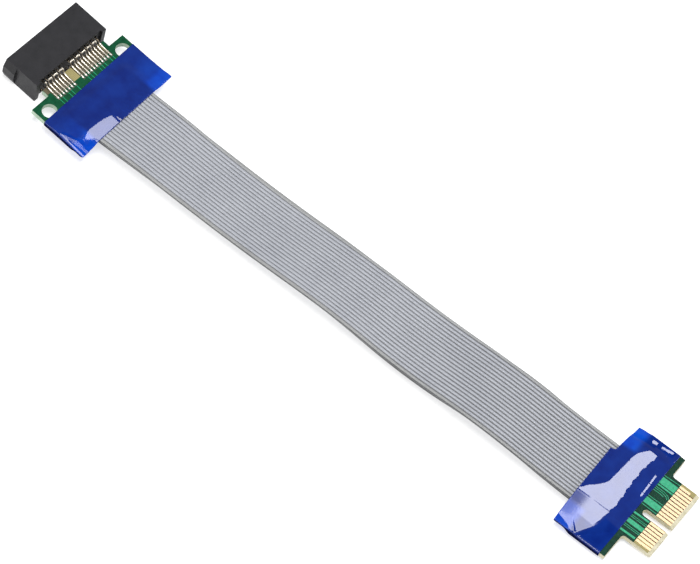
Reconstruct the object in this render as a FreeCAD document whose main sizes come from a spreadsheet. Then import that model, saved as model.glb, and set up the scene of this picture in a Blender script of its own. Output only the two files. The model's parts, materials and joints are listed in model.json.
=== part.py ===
import FreeCAD, Part

import math
import os
import re

import Sketcher
from FreeCAD import Placement, Rotation, Vector

# Extension cable for a one-lane card slot, in millimetres.
# The frame stands on the table at the middle of the slot housing's lower face: +X runs from the slot
# towards the plug, +Y towards the long contact group and +Z up.
# Socket pieces are drawn about the middle plane of the slot and its board, plug pieces about the middle
# plane of the plug board, and ribbons in the upright plane of their own route.

# Driving dimensions: name, size, what it measures.
SIZES = (
    ("housing_depth", 10.7, "slot housing, mating face to feet"),
    ("housing_width", 25.0, "slot housing, along the contact rows"),
    ("housing_height", 7.5, "slot housing, lower to upper face"),
    ("foot_height", 0.7, "end feet, proud of the pin wall"),
    ("foot_width", 1.4, "end feet, along the contact rows"),
    ("nose_depth", 3.8, "keying nose, back from the mating face"),
    ("nose_reach", 0.9, "keying nose, out from the end wall"),
    ("nose_land", 2.7, "keying nose, height of its flat outer face"),
    ("slot_height", 1.9, "card slot, between its long walls"),
    ("slot_depth", 7.6, "card slot, mating face to floor"),
    ("slot_lead", 0.45, "card slot, bevel round its mouth"),
    ("card_clearance", 0.15, "card slot, play at each end of a tongue"),
    ("contact_pitch", 1.0, "contacts, fingers and tails, centre to centre"),
    ("key_pitch", 3.0, "centres of the two contacts beside the key"),
    ("near_count", 11, "contacts in the long group"),
    ("far_count", 7, "contacts in the short group"),
    ("contact_width", 0.5, "contact strip, across"),
    ("contact_stock", 0.22, "contact strip, thickness"),
    ("contact_clearance", 0.06, "play round a contact in its chamber"),
    ("contact_lip", 0.8, "housing wall in front of the chambers"),
    ("inner_level", 1.9, "contact seat above the middle plane"),
    ("outer_level", 2.75, "raised tail above the middle plane"),
    ("notch_depth", 1.1, "recess in the pin wall at a raised tail"),
    ("spring_level", 0.72, "sprung contact point above the middle plane"),
    ("spring_setback", 2.6, "contact point behind the mating face"),
    ("tip_rise", 0.55, "spring tip above its contact point"),
    ("tip_setback", 0.4, "spring tip behind the chamber's front wall"),
    ("neck_seat", 0.22, "raised neck, level part behind the pin wall"),
    ("neck_drop", 0.82, "raised neck, end of its drop behind the pin wall"),
    ("shoulder_width", 0.9, "wide neck of a raised tail"),
    ("exit_run", 0.6, "straight start of a tail past the feet"),
    ("tail_reach", 5.0, "toe of a tail past the feet"),
    ("tail_foot", 1.5, "flat foot of a tail"),
    ("pad_stock", 0.05, "copper pads, thickness"),
    ("tail_pad_length", 2.4, "tail pad, along the tail"),
    ("tail_pad_width", 0.62, "tail pad, across"),
    ("pad_lap", 0.5, "tail pad past the toe"),
    ("solder_reach", 0.4, "solder fillet past a toe or a wire tip"),
    ("board_stock", 1.6, "both boards, thickness"),
    ("socket_board_width", 32.8, "socket board, across"),
    ("socket_board_depth", 13.6, "socket board, shoulder to hidden edge"),
    ("socket_board_shift", -0.55, "socket board's middle beside the contact middle"),
    ("shoulder_setback", 2.9, "socket board's shoulder past the feet"),
    ("tongue_setback", 0.8, "socket board's tongue past the feet"),
    ("socket_tongue_width", 22.0, "socket board's tongue, across"),
    ("hole_bore", 4.0, "board holes, diameter"),
    ("hole_inset", 3.1, "board holes, in from the side"),
    ("hole_setback", 3.2, "board holes, back from the shoulder"),
    ("wire_count", 20, "conductors in a ribbon"),
    ("wire_pitch", 1.0, "conductors, centre to centre"),
    ("wire_width", 0.3, "tinned conductor end, across"),
    ("wire_stock", 0.22, "tinned conductor end, thickness"),
    ("wire_length", 2.4, "stripped length of a conductor"),
    ("wire_start", 0.3, "level start of a stripped conductor"),
    ("wire_bend", 0.9, "run in which a conductor drops to its pad"),
    ("wire_pad_length", 4.0, "ribbon pad, along the conductor"),
    ("wire_pad_width", 0.62, "ribbon pad, across"),
    ("ribbon_width", 20.2, "flat ribbon, across"),
    ("ribbon_stock", 0.9, "flat ribbon, thickness"),
    ("ribbon_edge", 0.3, "flat ribbon, bevel of its long edges"),
    ("ribbon_skew", 5.5, "ribbon's heading from the slot's, degrees"),
    ("ribbon_shift", -1.0, "upper ribbon's middle beside the contact middle"),
    ("lower_ribbon_shift", 1.0, "lower ribbon's middle beside the upper one's"),
    ("free_span", 146.9, "ribbon between the two tapes"),
    ("socket_bond", 8.5, "ribbon under the socket tape"),
    ("plug_bond", 9.1, "ribbon under the plug tape"),
    ("tape_stock", 0.12, "film tape, thickness"),
    ("tape_slack", 0.3, "room beside a ribbon under the film"),
    ("tape_ramp", 1.9, "run in which the film climbs onto a ribbon"),
    ("tape_border", 0.5, "flat film in front of that ramp"),
    ("socket_tape_setback", 7.0, "socket tape's front edge past the feet"),
    ("socket_tape_length", 13.5, "socket tape, along the cable"),
    ("plug_tape_length", 14.0, "plug tape, along the cable"),
    ("plug_step_back", 1.1, "plug tape's short side, set back"),
    ("plug_step_side", 5.6, "plug tape's step beside the finger middle"),
    ("plug_board_width", 35.0, "plug board, across"),
    ("plug_board_depth", 10.4, "plug board, hidden edge to shoulder"),
    ("plug_board_shift", -1.0, "plug board's middle beside the finger middle"),
    ("plug_shoulder_lap", 1.5, "plug board's shoulder past the tape"),
    ("plug_ribbon_shift", -1.7, "ribbon's middle beside the finger middle"),
    ("plug_corner", 0.9, "rounding where the tongue leaves the shoulder"),
    ("tongue_length", 8.5, "card tongue, shoulder to end"),
    ("near_tongue", 11.65, "card tongue, long side of the key"),
    ("far_tongue", 7.65, "card tongue, short side of the key"),
    ("key_slot", 1.9, "card tongue, key slot across"),
    ("key_depth", 8.4, "card tongue, key slot from the end"),
    ("bevel_length", 0.9, "card tongue, bevel at the end"),
    ("bevel_rise", 0.4, "card tongue, bevel height on each face"),
    ("finger_length", 4.35, "gold finger, along the tongue"),
    ("finger_width", 0.7, "gold finger, across"),
    ("finger_stock", 0.05, "gold finger, thickness"),
    ("short_finger_cut", 1.3, "first-mate finger, shorter by"),
)

# Routes between the tapes: share of the free span, height of the ribbon's middle in ribbon thicknesses.
UPPER_ROUTE = (
    (0.157, 4.17),
    (0.3, 3.39),
    (0.49, 5.11),
    (0.64, 3.33),
    (0.8, 5.44),
)
LOWER_ROUTE = (
    (0.157, 2.56),
    (0.3, 2.06),
    (0.47, 3.22),
    (0.68, 0.28),
    (0.81, 2.44),
)
# First bend past a tape, as a share of the ribbon's length under that tape.
BEND_LEAD = 0.88
# Share of the shorter run beside a bend that its arc takes up.
ARC_SHARE = 0.45
# S-bend of a contact tail: share of its run, share of its rise.
TAIL_BEND = (
    (0.18, 0.12),
    (0.5, 0.5),
    (0.82, 0.88),
)
# Two places this close count as one.
SAME_PLACE = 0.01

doc = FreeCAD.newDocument("slot_extension_cable")
sheet = doc.addObject("Spreadsheet::Sheet", "sizes")
for line, (alias, size, meaning) in enumerate(SIZES, start=1):
    sheet.set(f"A{line}", alias)
    sheet.set(f"B{line}", str(size))
    sheet.set(f"C{line}", meaning)
    sheet.setAlias(f"B{line}", alias)
doc.recompute()

subparts = []


def bound(text):
    """A formula of size names, written so that document objects can follow the sheet."""
    return re.sub(r"\b[a-z]+(?:_[a-z]+)+\b", lambda word: "sizes." + word.group(), text)


def number(text):
    """The present value of a formula of size names."""
    return float(sheet.evalExpression(bound(text)))


# Places along the contact rows and the cable, as formulas.
HALF_DEPTH = "housing_depth / 2"
PIN_WALL = "(housing_depth / 2 - foot_height)"
SLOT_FLOOR = "(slot_depth - housing_depth / 2)"
ROW_SPAN = "((near_count + far_count - 2) * contact_pitch + key_pitch)"
NEAR_FIRST = f"({ROW_SPAN} / 2)"
FAR_FIRST = f"({ROW_SPAN} / 2 - (near_count - 1) * contact_pitch - key_pitch)"
FAR_LAST = f"(-{ROW_SPAN} / 2)"
KEY_MIDDLE = f"({ROW_SPAN} / 2 - (near_count - 1) * contact_pitch - key_pitch / 2)"
NEAR_EDGE = f"({KEY_MIDDLE} + key_slot / 2 + near_tongue)"
FAR_EDGE = f"({KEY_MIDDLE} - key_slot / 2 - far_tongue)"
TOE = f"({HALF_DEPTH} + tail_reach)"
SHOULDER = f"({HALF_DEPTH} + shoulder_setback)"
BOARD_FACE = "(board_stock / 2)"
PAD_FACE = "(board_stock / 2 + pad_stock)"
FILM_RISE = "(pad_stock + ribbon_stock)"
SOCKET_LEVEL = "housing_height / 2"
PLUG_LEVEL = "(tape_stock + ribbon_stock + pad_stock + board_stock / 2)"
RIBBON_LIFT = f"({PAD_FACE} + ribbon_stock / 2)"
TAPE_FRONT = f"({HALF_DEPTH} + socket_tape_setback)"
TAPE_EXIT = f"({HALF_DEPTH} + socket_tape_setback + socket_tape_length)"
PLUG_SHOULDER = "(plug_tape_length + plug_shoulder_lap)"
TONGUE_END = "(plug_tape_length + plug_shoulder_lap + tongue_length)"

heading = Rotation(Vector(0, 0, 1), number("ribbon_skew"))
cable_exit = Vector(number(TAPE_EXIT), number("ribbon_shift"), 0)
socket_place = Placement(Vector(0, 0, number(SOCKET_LEVEL)), Rotation())
ribbon_place = Placement(cable_exit, heading)
plug_origin = cable_exit + heading.multVec(Vector(number("free_span"), -number("plug_ribbon_shift"), 0))
plug_place = Placement(plug_origin + Vector(0, 0, number(PLUG_LEVEL)), heading)


def beside(place, side):
    """A place for the upper ribbon or its ends, moved across for the lower ribbon."""
    if side > 0:
        return place
    return Placement(place.Base + heading.multVec(Vector(0, number("lower_ribbon_shift"), 0)), place.Rotation)


def origin_feature(body, role):
    """A body's own base plane or axis."""
    return next(item for item in body.Origin.OriginFeatures if item.Role == role)


def new_body(name, place):
    """An empty body that is written out as a sub-part."""
    body = doc.addObject("PartDesign::Body", name)
    body.Label = name
    body.Placement = place
    subparts.append(body)
    return body


def new_sketch(body, name, plane, offset="0"):
    """A sketch on a base plane, moved along the plane's normal."""
    sketch = body.newObject("Sketcher::SketchObject", f"{body.Name}_{name}")
    sketch.AttachmentSupport = [(origin_feature(body, plane), "")]
    sketch.MapMode = "FlatFace"
    sketch.setExpression(".AttachmentOffset.Base.z", bound(offset))
    return sketch


def draw_line(sketch, corners, closed=True):
    """Straight segments through corners whose coordinates are formulas of the sizes."""
    spots = [Vector(number(along), number(up), 0) for along, up in corners]
    first = sketch.GeometryCount
    total = len(spots) if closed else len(spots) - 1
    for index in range(total):
        segment = Part.LineSegment(spots[index], spots[(index + 1) % len(spots)])
        sketch.addGeometry(segment, False)
    joints = total if closed else total - 1
    for index in range(joints):
        following = first + (index + 1) % total
        sketch.addConstraint(Sketcher.Constraint("Coincident", first + index, 2, following, 1))
    for index, (spot, formulas) in enumerate(zip(spots, corners)):
        segment, end = (first + index, 1) if index < total else (first + total - 1, 2)
        for kind, value, formula in zip(("DistanceX", "DistanceY"), spot, formulas):
            size = sketch.addConstraint(Sketcher.Constraint(kind, -1, 1, segment, end, value))
            sketch.setExpression(f"Constraints[{size}]", bound(formula))


def draw_box(sketch, low, high):
    """A rectangle between two opposite corners."""
    draw_line(sketch, (low, (high[0], low[1]), high, (low[0], high[1])))


def draw_circle(sketch, middle, diameter):
    """A circle with its middle and diameter bound to the sizes."""
    spot = Vector(number(middle[0]), number(middle[1]), 0)
    circle = sketch.addGeometry(Part.Circle(spot, Vector(0, 0, 1), number(diameter) / 2), False)
    for kind, value, formula in zip(("DistanceX", "DistanceY"), spot, middle):
        size = sketch.addConstraint(Sketcher.Constraint(kind, -1, 1, circle, 3, value))
        sketch.setExpression(f"Constraints[{size}]", bound(formula))
    size = sketch.addConstraint(Sketcher.Constraint("Diameter", circle, number(diameter)))
    sketch.setExpression(f"Constraints[{size}]", bound(diameter))


def extrude(kind, body, sketch, length, symmetric=False, flipped=False):
    """A pad or a pocket of a sketch."""
    feature = body.newObject(f"PartDesign::{kind}", f"{sketch.Name}_{kind.lower()}")
    feature.Profile = sketch
    feature.SideType = "Symmetric" if symmetric else "One side"
    feature.Reversed = flipped
    feature.setExpression("Length", bound(length))
    return feature


def sweep(body, profile, spine, corner="Right corner"):
    """A strip or a ribbon: one section carried along a route."""
    feature = body.newObject("PartDesign::AdditivePipe", f"{profile.Name}_sweep")
    feature.Profile = profile
    feature.Spine = (spine, [])
    feature.Transition = corner
    return feature


def repeat(body, features, count, pitch):
    """Copies of features in a row towards -Y."""
    pattern = body.newObject("PartDesign::LinearPattern", f"{features[0].Name}_row")
    pattern.Originals = features
    pattern.Direction = (origin_feature(body, "Y_Axis"), [""])
    pattern.Reversed = True
    pattern.Mode = "Spacing"
    pattern.setExpression("Offset", bound(pitch))
    pattern.setExpression("Occurrences", bound(count))
    body.Tip = pattern
    return pattern


def slot_housing():
    """Moulded slot: block with end feet and a keying nose, card slot, mouth bevel and contact chambers."""
    body = new_body("slot_housing", socket_place)
    block = new_sketch(body, "block", "XY_Plane")
    end = "housing_width / 2"
    inside = "(housing_width / 2 - foot_width)"
    draw_line(block, (
        (f"-{HALF_DEPTH}", f"-{end}"),
        (HALF_DEPTH, f"-{end}"),
        (HALF_DEPTH, f"-{inside}"),
        (PIN_WALL, f"-{inside}"),
        (PIN_WALL, inside),
        (HALF_DEPTH, inside),
        (HALF_DEPTH, end),
        (f"-{HALF_DEPTH}", end),
    ))
    extrude("Pad", body, block, "housing_height", symmetric=True)
    nose = new_sketch(body, "nose", "YZ_Plane", f"-{HALF_DEPTH}")
    tip = "(housing_width / 2 + nose_reach)"
    draw_line(nose, (
        (f"-{end}", "-housing_height / 2"),
        (f"-{end}", "housing_height / 2"),
        (f"-{tip}", "nose_land / 2"),
        (f"-{tip}", "-nose_land / 2"),
    ))
    extrude("Pad", body, nose, "nose_depth")

    sides = (
        ("near", f"({KEY_MIDDLE} + key_slot / 2 - card_clearance)", f"({NEAR_EDGE} + card_clearance)"),
        ("far", f"({FAR_EDGE} - card_clearance)", f"({KEY_MIDDLE} - key_slot / 2 + card_clearance)"),
    )
    for name, low, high in sides:
        slot = new_sketch(body, f"{name}_slot", "YZ_Plane", f"-{HALF_DEPTH}")
        draw_box(slot, (low, "-slot_height / 2"), (high, "slot_height / 2"))
        extrude("Pocket", body, slot, "slot_depth", flipped=True)
        mouth = new_sketch(body, f"{name}_mouth", "YZ_Plane", f"-{HALF_DEPTH}")
        bevel = "(slot_height / 2 + slot_lead)"
        draw_box(mouth, (low, f"-{bevel}"), (high, bevel))
        throat = new_sketch(body, f"{name}_throat", "YZ_Plane", f"slot_lead - {HALF_DEPTH}")
        draw_box(throat, (low, "-slot_height / 2"), (high, "slot_height / 2"))
        funnel = body.newObject("PartDesign::SubtractiveLoft", f"{name}_funnel")
        funnel.Profile = mouth
        funnel.Sections = [throat]
        funnel.Ruled = True

    width = "contact_width + 2 * contact_clearance"
    front = f"(contact_lip - {HALF_DEPTH})"
    roof = "(inner_level + contact_stock / 2 + contact_clearance)"
    sill = "(inner_level - contact_stock / 2 - contact_clearance)"
    recess = "(outer_level + contact_stock / 2 + contact_clearance)"
    groups = (
        ("near", NEAR_FIRST, "near_count"),
        ("far", FAR_FIRST, "far_count"),
    )
    for name, first, count in groups:
        chamber = new_sketch(body, f"{name}_chamber", "XZ_Plane", f"-{first}")
        draw_line(chamber, (
            (front, f"-{roof}"),
            (HALF_DEPTH, f"-{roof}"),
            (HALF_DEPTH, f"-{sill}"),
            (SLOT_FLOOR, f"-{sill}"),
            (SLOT_FLOOR, sill),
            (HALF_DEPTH, sill),
            (HALF_DEPTH, roof),
            (front, roof),
        ))
        repeat(body, [extrude("Pocket", body, chamber, width, symmetric=True)], count, "contact_pitch")
        notch = new_sketch(body, f"{name}_notch", "XZ_Plane", f"-{first}")
        for side in ("", "-"):
            draw_box(notch, (f"{PIN_WALL} - notch_depth", f"{side}{sill}"), (HALF_DEPTH, f"{side}{recess}"))
        pocket = extrude("Pocket", body, notch, width, symmetric=True)
        repeat(body, [pocket], f"ceil({count} / 2)", "2 * contact_pitch")


def contact_row(name, side):
    """Spring contacts of one face: alternate tails leave the pin wall at a raised level."""
    body = new_body(name, socket_place)
    foot = f"({PAD_FACE} + contact_stock / 2)"
    heel = f"({TOE} - tail_foot)"
    neck = f"({HALF_DEPTH} + exit_run)"

    def one_contact(label, start, level, raised):
        route = [(TOE, foot), (heel, foot)]
        for run, rise in TAIL_BEND:
            route.append((f"{heel} - {run} * ({heel} - {neck})", f"{foot} + {rise} * ({level} - {foot})"))
        route.append((neck, level))
        if raised:
            route.append((f"{PIN_WALL} - neck_seat", level))
            route.append((f"{PIN_WALL} - neck_drop", "inner_level"))
        route.append((f"{SLOT_FLOOR} - contact_clearance", "inner_level"))
        route.append((f"spring_setback - {HALF_DEPTH}", "spring_level"))
        route.append((f"contact_lip + tip_setback - {HALF_DEPTH}", "spring_level + tip_rise"))
        path = new_sketch(body, f"{label}_path", "XZ_Plane", f"-{start}")
        draw_line(path, [(along, f"{side} * ({up})") for along, up in route], closed=False)
        strip = new_sketch(body, f"{label}_strip", "YZ_Plane", TOE)
        middle = f"{side} * {foot}"
        draw_box(strip, (f"{start} - contact_width / 2", f"{middle} - contact_stock / 2"),
                 (f"{start} + contact_width / 2", f"{middle} + contact_stock / 2"))
        features = [sweep(body, strip, path)]
        if raised:
            flag = new_sketch(body, f"{label}_neck", "XY_Plane", f"{side} * {level}")
            draw_box(flag, (f"{PIN_WALL} + contact_clearance", f"{start} - shoulder_width / 2"),
                     (neck, f"{start} + shoulder_width / 2"))
            features.append(extrude("Pad", body, flag, "contact_stock", symmetric=True))
        return features

    for group, first, count in (("near", NEAR_FIRST, "near_count"), ("far", FAR_FIRST, "far_count")):
        outer = one_contact(f"{group}_outer", first, "outer_level", True)
        repeat(body, outer, f"ceil({count} / 2)", "2 * contact_pitch")
        inner = one_contact(f"{group}_inner", f"({first} - contact_pitch)", "inner_level", False)
        repeat(body, inner, f"floor({count} / 2)", "2 * contact_pitch")


def socket_board():
    """Board behind the slot: a bare tongue between the tail rows and two round holes."""
    body = new_body("socket_board", socket_place)
    outline = new_sketch(body, "outline", "XY_Plane")
    low = "(socket_board_shift - socket_board_width / 2)"
    high = "(socket_board_shift + socket_board_width / 2)"
    tongue = "socket_tongue_width / 2"
    front = f"{HALF_DEPTH} + tongue_setback"
    back = f"{SHOULDER} + socket_board_depth"
    draw_line(outline, (
        (front, f"-{tongue}"),
        (SHOULDER, f"-{tongue}"),
        (SHOULDER, low),
        (back, low),
        (back, high),
        (SHOULDER, high),
        (SHOULDER, tongue),
        (front, tongue),
    ))
    extrude("Pad", body, outline, "board_stock", symmetric=True)
    holes = new_sketch(body, "holes", "XY_Plane")
    for middle in (f"{low} + hole_inset", f"{high} - hole_inset"):
        draw_circle(holes, (f"{SHOULDER} + hole_setback", middle), "hole_bore")
    extrude("Pocket", body, holes, "2 * board_stock", symmetric=True)


def flat_row(body, label, along, width, start, count, pitch, side, stock, level=BOARD_FACE):
    """A row of thin rectangles that lie on a board's face."""
    pad = new_sketch(body, label, "XY_Plane", f"{side} * {level}")
    draw_box(pad, (along[0], f"{start} - {width} / 2"), (along[1], f"{start} + {width} / 2"))
    feature = extrude("Pad", body, pad, stock, flipped=side < 0)
    if count:
        repeat(body, [feature], count, pitch)
    else:
        body.Tip = feature


def tail_pads(name, side):
    """Copper pads under the tails of one face."""
    body = new_body(name, socket_place)
    along = (f"{TOE} + pad_lap - tail_pad_length", f"{TOE} + pad_lap")
    for group, first, count in (("near", NEAR_FIRST, "near_count"), ("far", FAR_FIRST, "far_count")):
        flat_row(body, group, along, "tail_pad_width", first, count, "contact_pitch", side, "pad_stock")


def fillet_row(body, label, tip, height, width, start, count, pitch, side):
    """A row of solder fillets: wedges that run out from a tip onto its pad."""
    wedge = new_sketch(body, label, "XZ_Plane", f"-{start}")
    draw_line(wedge, (
        (tip, f"{side} * {PAD_FACE}"),
        (f"{tip} + solder_reach", f"{side} * {PAD_FACE}"),
        (tip, f"{side} * ({PAD_FACE} + {height})"),
    ))
    repeat(body, [extrude("Pad", body, wedge, width, symmetric=True)], count, pitch)


def tail_solder(name, side):
    """Solder fillets at the toes of one face."""
    body = new_body(name, socket_place)
    for group, first, count in (("near", NEAR_FIRST, "near_count"), ("far", FAR_FIRST, "far_count")):
        fillet_row(body, group, TOE, "contact_stock", "contact_width", first, count, "contact_pitch", side)


WIRE_FIRST = "((wire_count - 1) * wire_pitch / 2)"


def wire_ends(name, side, place):
    """Stripped conductors: they leave the ribbon's end at X = 0 and drop onto their pads."""
    body = new_body(name, place)
    flat = f"({PAD_FACE} + wire_stock / 2)"
    path = new_sketch(body, "path", "XZ_Plane", f"-{WIRE_FIRST}")
    draw_line(path, (
        ("0", f"{side} * {RIBBON_LIFT}"),
        ("wire_start", f"{side} * {RIBBON_LIFT}"),
        ("wire_bend", f"{side} * {flat}"),
        ("wire_length", f"{side} * {flat}"),
    ), closed=False)
    strip = new_sketch(body, "strip", "YZ_Plane")
    middle = f"{side} * {RIBBON_LIFT}"
    draw_box(strip, (f"{WIRE_FIRST} - wire_width / 2", f"{middle} - wire_stock / 2"),
             (f"{WIRE_FIRST} + wire_width / 2", f"{middle} + wire_stock / 2"))
    repeat(body, [sweep(body, strip, path)], "wire_count", "wire_pitch")


def wire_solder(name, side, place):
    """Solder fillets at the tips of the conductors."""
    body = new_body(name, place)
    fillet_row(body, "fillet", "wire_length", "wire_stock", "wire_width", WIRE_FIRST, "wire_count",
               "wire_pitch", side)


def wire_pads(name, side, place, middle):
    """Copper pads under the conductors of one ribbon, with their middle at a given X of the place."""
    body = new_body(name, place)
    along = (f"{middle} - wire_pad_length / 2", f"{middle} + wire_pad_length / 2")
    flat_row(body, "pad", along, "wire_pad_width", WIRE_FIRST, "wire_count", "wire_pitch", side, "pad_stock")


def solid_box(name, low, high):
    """A box between two corners given as formulas."""
    box = doc.addObject("Part::Box", name)
    for size, axis, start, stop in zip(("Length", "Width", "Height"), "xyz", low, high):
        box.setExpression(size, bound(f"({stop}) - ({start})"))
        box.setExpression(f".Placement.Base.{axis}", bound(start))
    return box


def film_rise(name, side, along, across, ramp_front, grow):
    """The space that a ribbon takes under the film: a low wedge with ramps at its front and both sides.

    The wedge's own Y axis is height, and its own Z axis runs across the cable.
    """
    wedge = doc.addObject("Part::Wedge", name)
    base = "(board_stock / 2)"
    front, back = along
    low, high = across
    sizes = {
        "Ymin": base,
        "Ymax": f"{base} + {FILM_RISE} + {grow}",
        "Xmin": f"{front} - {grow}" if ramp_front else front,
        "X2min": f"{front} + tape_ramp - {grow}" if ramp_front else front,
        "Xmax": back if ramp_front else f"{back} + {grow}",
        "X2max": back if ramp_front else f"{back} - tape_ramp + {grow}",
        "Zmin": f"{low} - tape_ramp - {grow}",
        "Z2min": f"{low} - {grow}",
        "Zmax": f"{high} + tape_ramp + {grow}",
        "Z2max": f"{high} + {grow}",
    }
    if side > 0:
        sizes.update({
            "Zmin": f"-({high}) - tape_ramp - {grow}",
            "Z2min": f"-({high}) - {grow}",
            "Zmax": f"-({low}) + tape_ramp + {grow}",
            "Z2max": f"-({low}) + {grow}",
        })
    for size, formula in sizes.items():
        wedge.setExpression(size, bound(formula))
    wedge.Placement = Placement(Vector(), Rotation(Vector(1, 0, 0), 90 * side))
    return wedge


def film_wrap(name, place, along, board, ribbon, ramp_front, trim=None):
    """Film tape wrapped round a board and the two ribbons on its faces, open at both ends."""
    front, back = along
    if ramp_front:
        rise = (f"{front} + tape_border", back)
    else:
        rise = (front, f"{back} - tape_border")

    def envelope(label, grow):
        low = (front, f"{board[0]} - {grow}", f"-board_stock / 2 - {grow}")
        high = (back, f"{board[1]} + {grow}", f"board_stock / 2 + {grow}")
        shapes = [solid_box(f"{name}_{label}_core", low, high)]
        for face, side, aside in (("upper", 1, "0"), ("lower", -1, "lower_ribbon_shift")):
            across = [f"{edge} + {aside}" for edge in ribbon]
            shapes.append(film_rise(f"{name}_{label}_{face}", side, rise, across, ramp_front, grow))
        joined = doc.addObject("Part::MultiFuse", f"{name}_{label}")
        joined.Shapes = shapes
        return joined

    wrap = doc.addObject("Part::Cut", f"{name}_wrap")
    wrap.Base = envelope("outside", "tape_stock")
    wrap.Tool = envelope("inside", "0")
    if trim:
        whole = wrap
        wrap = doc.addObject("Part::Cut", f"{name}_trimmed")
        wrap.Base = whole
        wrap.Tool = solid_box(f"{name}_trim", *trim)
    wrap.Label = name
    wrap.Placement = place
    subparts.append(wrap)


def socket_tape():
    """Film over the socket board's rear part, its holes half covered, and over both ribbons."""
    drift = "socket_bond * sin(ribbon_skew)"
    board = ("socket_board_shift - socket_board_width / 2", "socket_board_shift + socket_board_width / 2")
    ribbon = (f"ribbon_shift - {drift} - ribbon_width / 2 - tape_slack",
              "ribbon_shift + ribbon_width / 2 + tape_slack")
    film_wrap("socket_tape", socket_place, (TAPE_FRONT, TAPE_EXIT), board, ribbon, True)


def plug_tape():
    """Film over the plug board's rear part and both ribbons, one side of its edge set back."""
    board = ("plug_board_shift - plug_board_width / 2", "plug_board_shift + plug_board_width / 2")
    ribbon = ("plug_ribbon_shift - ribbon_width / 2 - tape_slack",
              "plug_ribbon_shift + ribbon_width / 2 + tape_slack")
    above = "(board_stock / 2 + pad_stock + ribbon_stock + 2 * tape_stock)"
    trim = (("-plug_step_back", "plug_step_side", f"-{above}"),
            ("plug_step_back", "plug_board_shift + plug_board_width / 2 + 2 * tape_stock", above))
    film_wrap("plug_tape", plug_place, ("0", "plug_tape_length"), board, ribbon, False, trim)


def rounded_route(points):
    """Straight runs joined by the largest even arcs: edges, radii and length."""
    edges = []
    radii = []
    spots = [Vector(along, up, 0) for along, up in points]
    last = spots[0]
    for before, corner, after in zip(spots, spots[1:], spots[2:]):
        run_in = corner - before
        run_out = after - corner
        turn = run_in.getAngle(run_out)
        reach = ARC_SHARE * min(run_in.Length, run_out.Length)
        radius = reach / math.tan(turn / 2)
        start = corner - run_in * (reach / run_in.Length)
        stop = corner + run_out * (reach / run_out.Length)
        towards = (start + stop) * 0.5 - corner
        middle = corner + towards * ((radius / math.cos(turn / 2) - radius) / towards.Length)
        edges.append(Part.LineSegment(last, start))
        edges.append(Part.Arc(start, middle, stop))
        radii.append(radius)
        last = stop
    edges.append(Part.LineSegment(last, spots[-1]))
    length = sum(edge.length() for edge in edges)
    return edges, radii, length


def ribbon(name, side, route):
    """Flat ribbon cable along its route; its ends lie level under the two tapes."""
    body = new_body(name, beside(ribbon_place, side))
    start_level = number(f"{SOCKET_LEVEL} + {side} * {RIBBON_LIFT}")
    end_level = number(f"{PLUG_LEVEL} + {side} * {RIBBON_LIFT}")
    span = number("free_span")
    under_socket = number("socket_bond")
    under_plug = number("plug_bond")
    points = [(-under_socket, start_level), (BEND_LEAD * under_socket, start_level)]
    for share, height in route:
        points.append((share * span, height * number("ribbon_stock")))
    points.append((span - BEND_LEAD * under_plug, end_level))
    points.append((span + under_plug, end_level))
    edges, radii, length = rounded_route(points)
    path = new_sketch(body, "route", "XZ_Plane")
    for edge in edges:
        path.addGeometry(edge, False)
    section = new_sketch(body, "section", "YZ_Plane", "-socket_bond")
    half = "ribbon_width / 2"
    middle = f"({SOCKET_LEVEL} + {side} * {RIBBON_LIFT})"
    low = f"{middle} - ribbon_stock / 2"
    high = f"{middle} + ribbon_stock / 2"
    draw_line(section, (
        (f"ribbon_edge - {half}", low),
        (f"{half} - ribbon_edge", low),
        (half, f"{low} + ribbon_edge"),
        (half, f"{high} - ribbon_edge"),
        (f"{half} - ribbon_edge", high),
        (f"ribbon_edge - {half}", high),
        (f"-{half}", f"{high} - ribbon_edge"),
        (f"-{half}", f"{low} + ribbon_edge"),
    ))
    sweep(body, section, path, "Transformed")
    return body, radii, length


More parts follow.
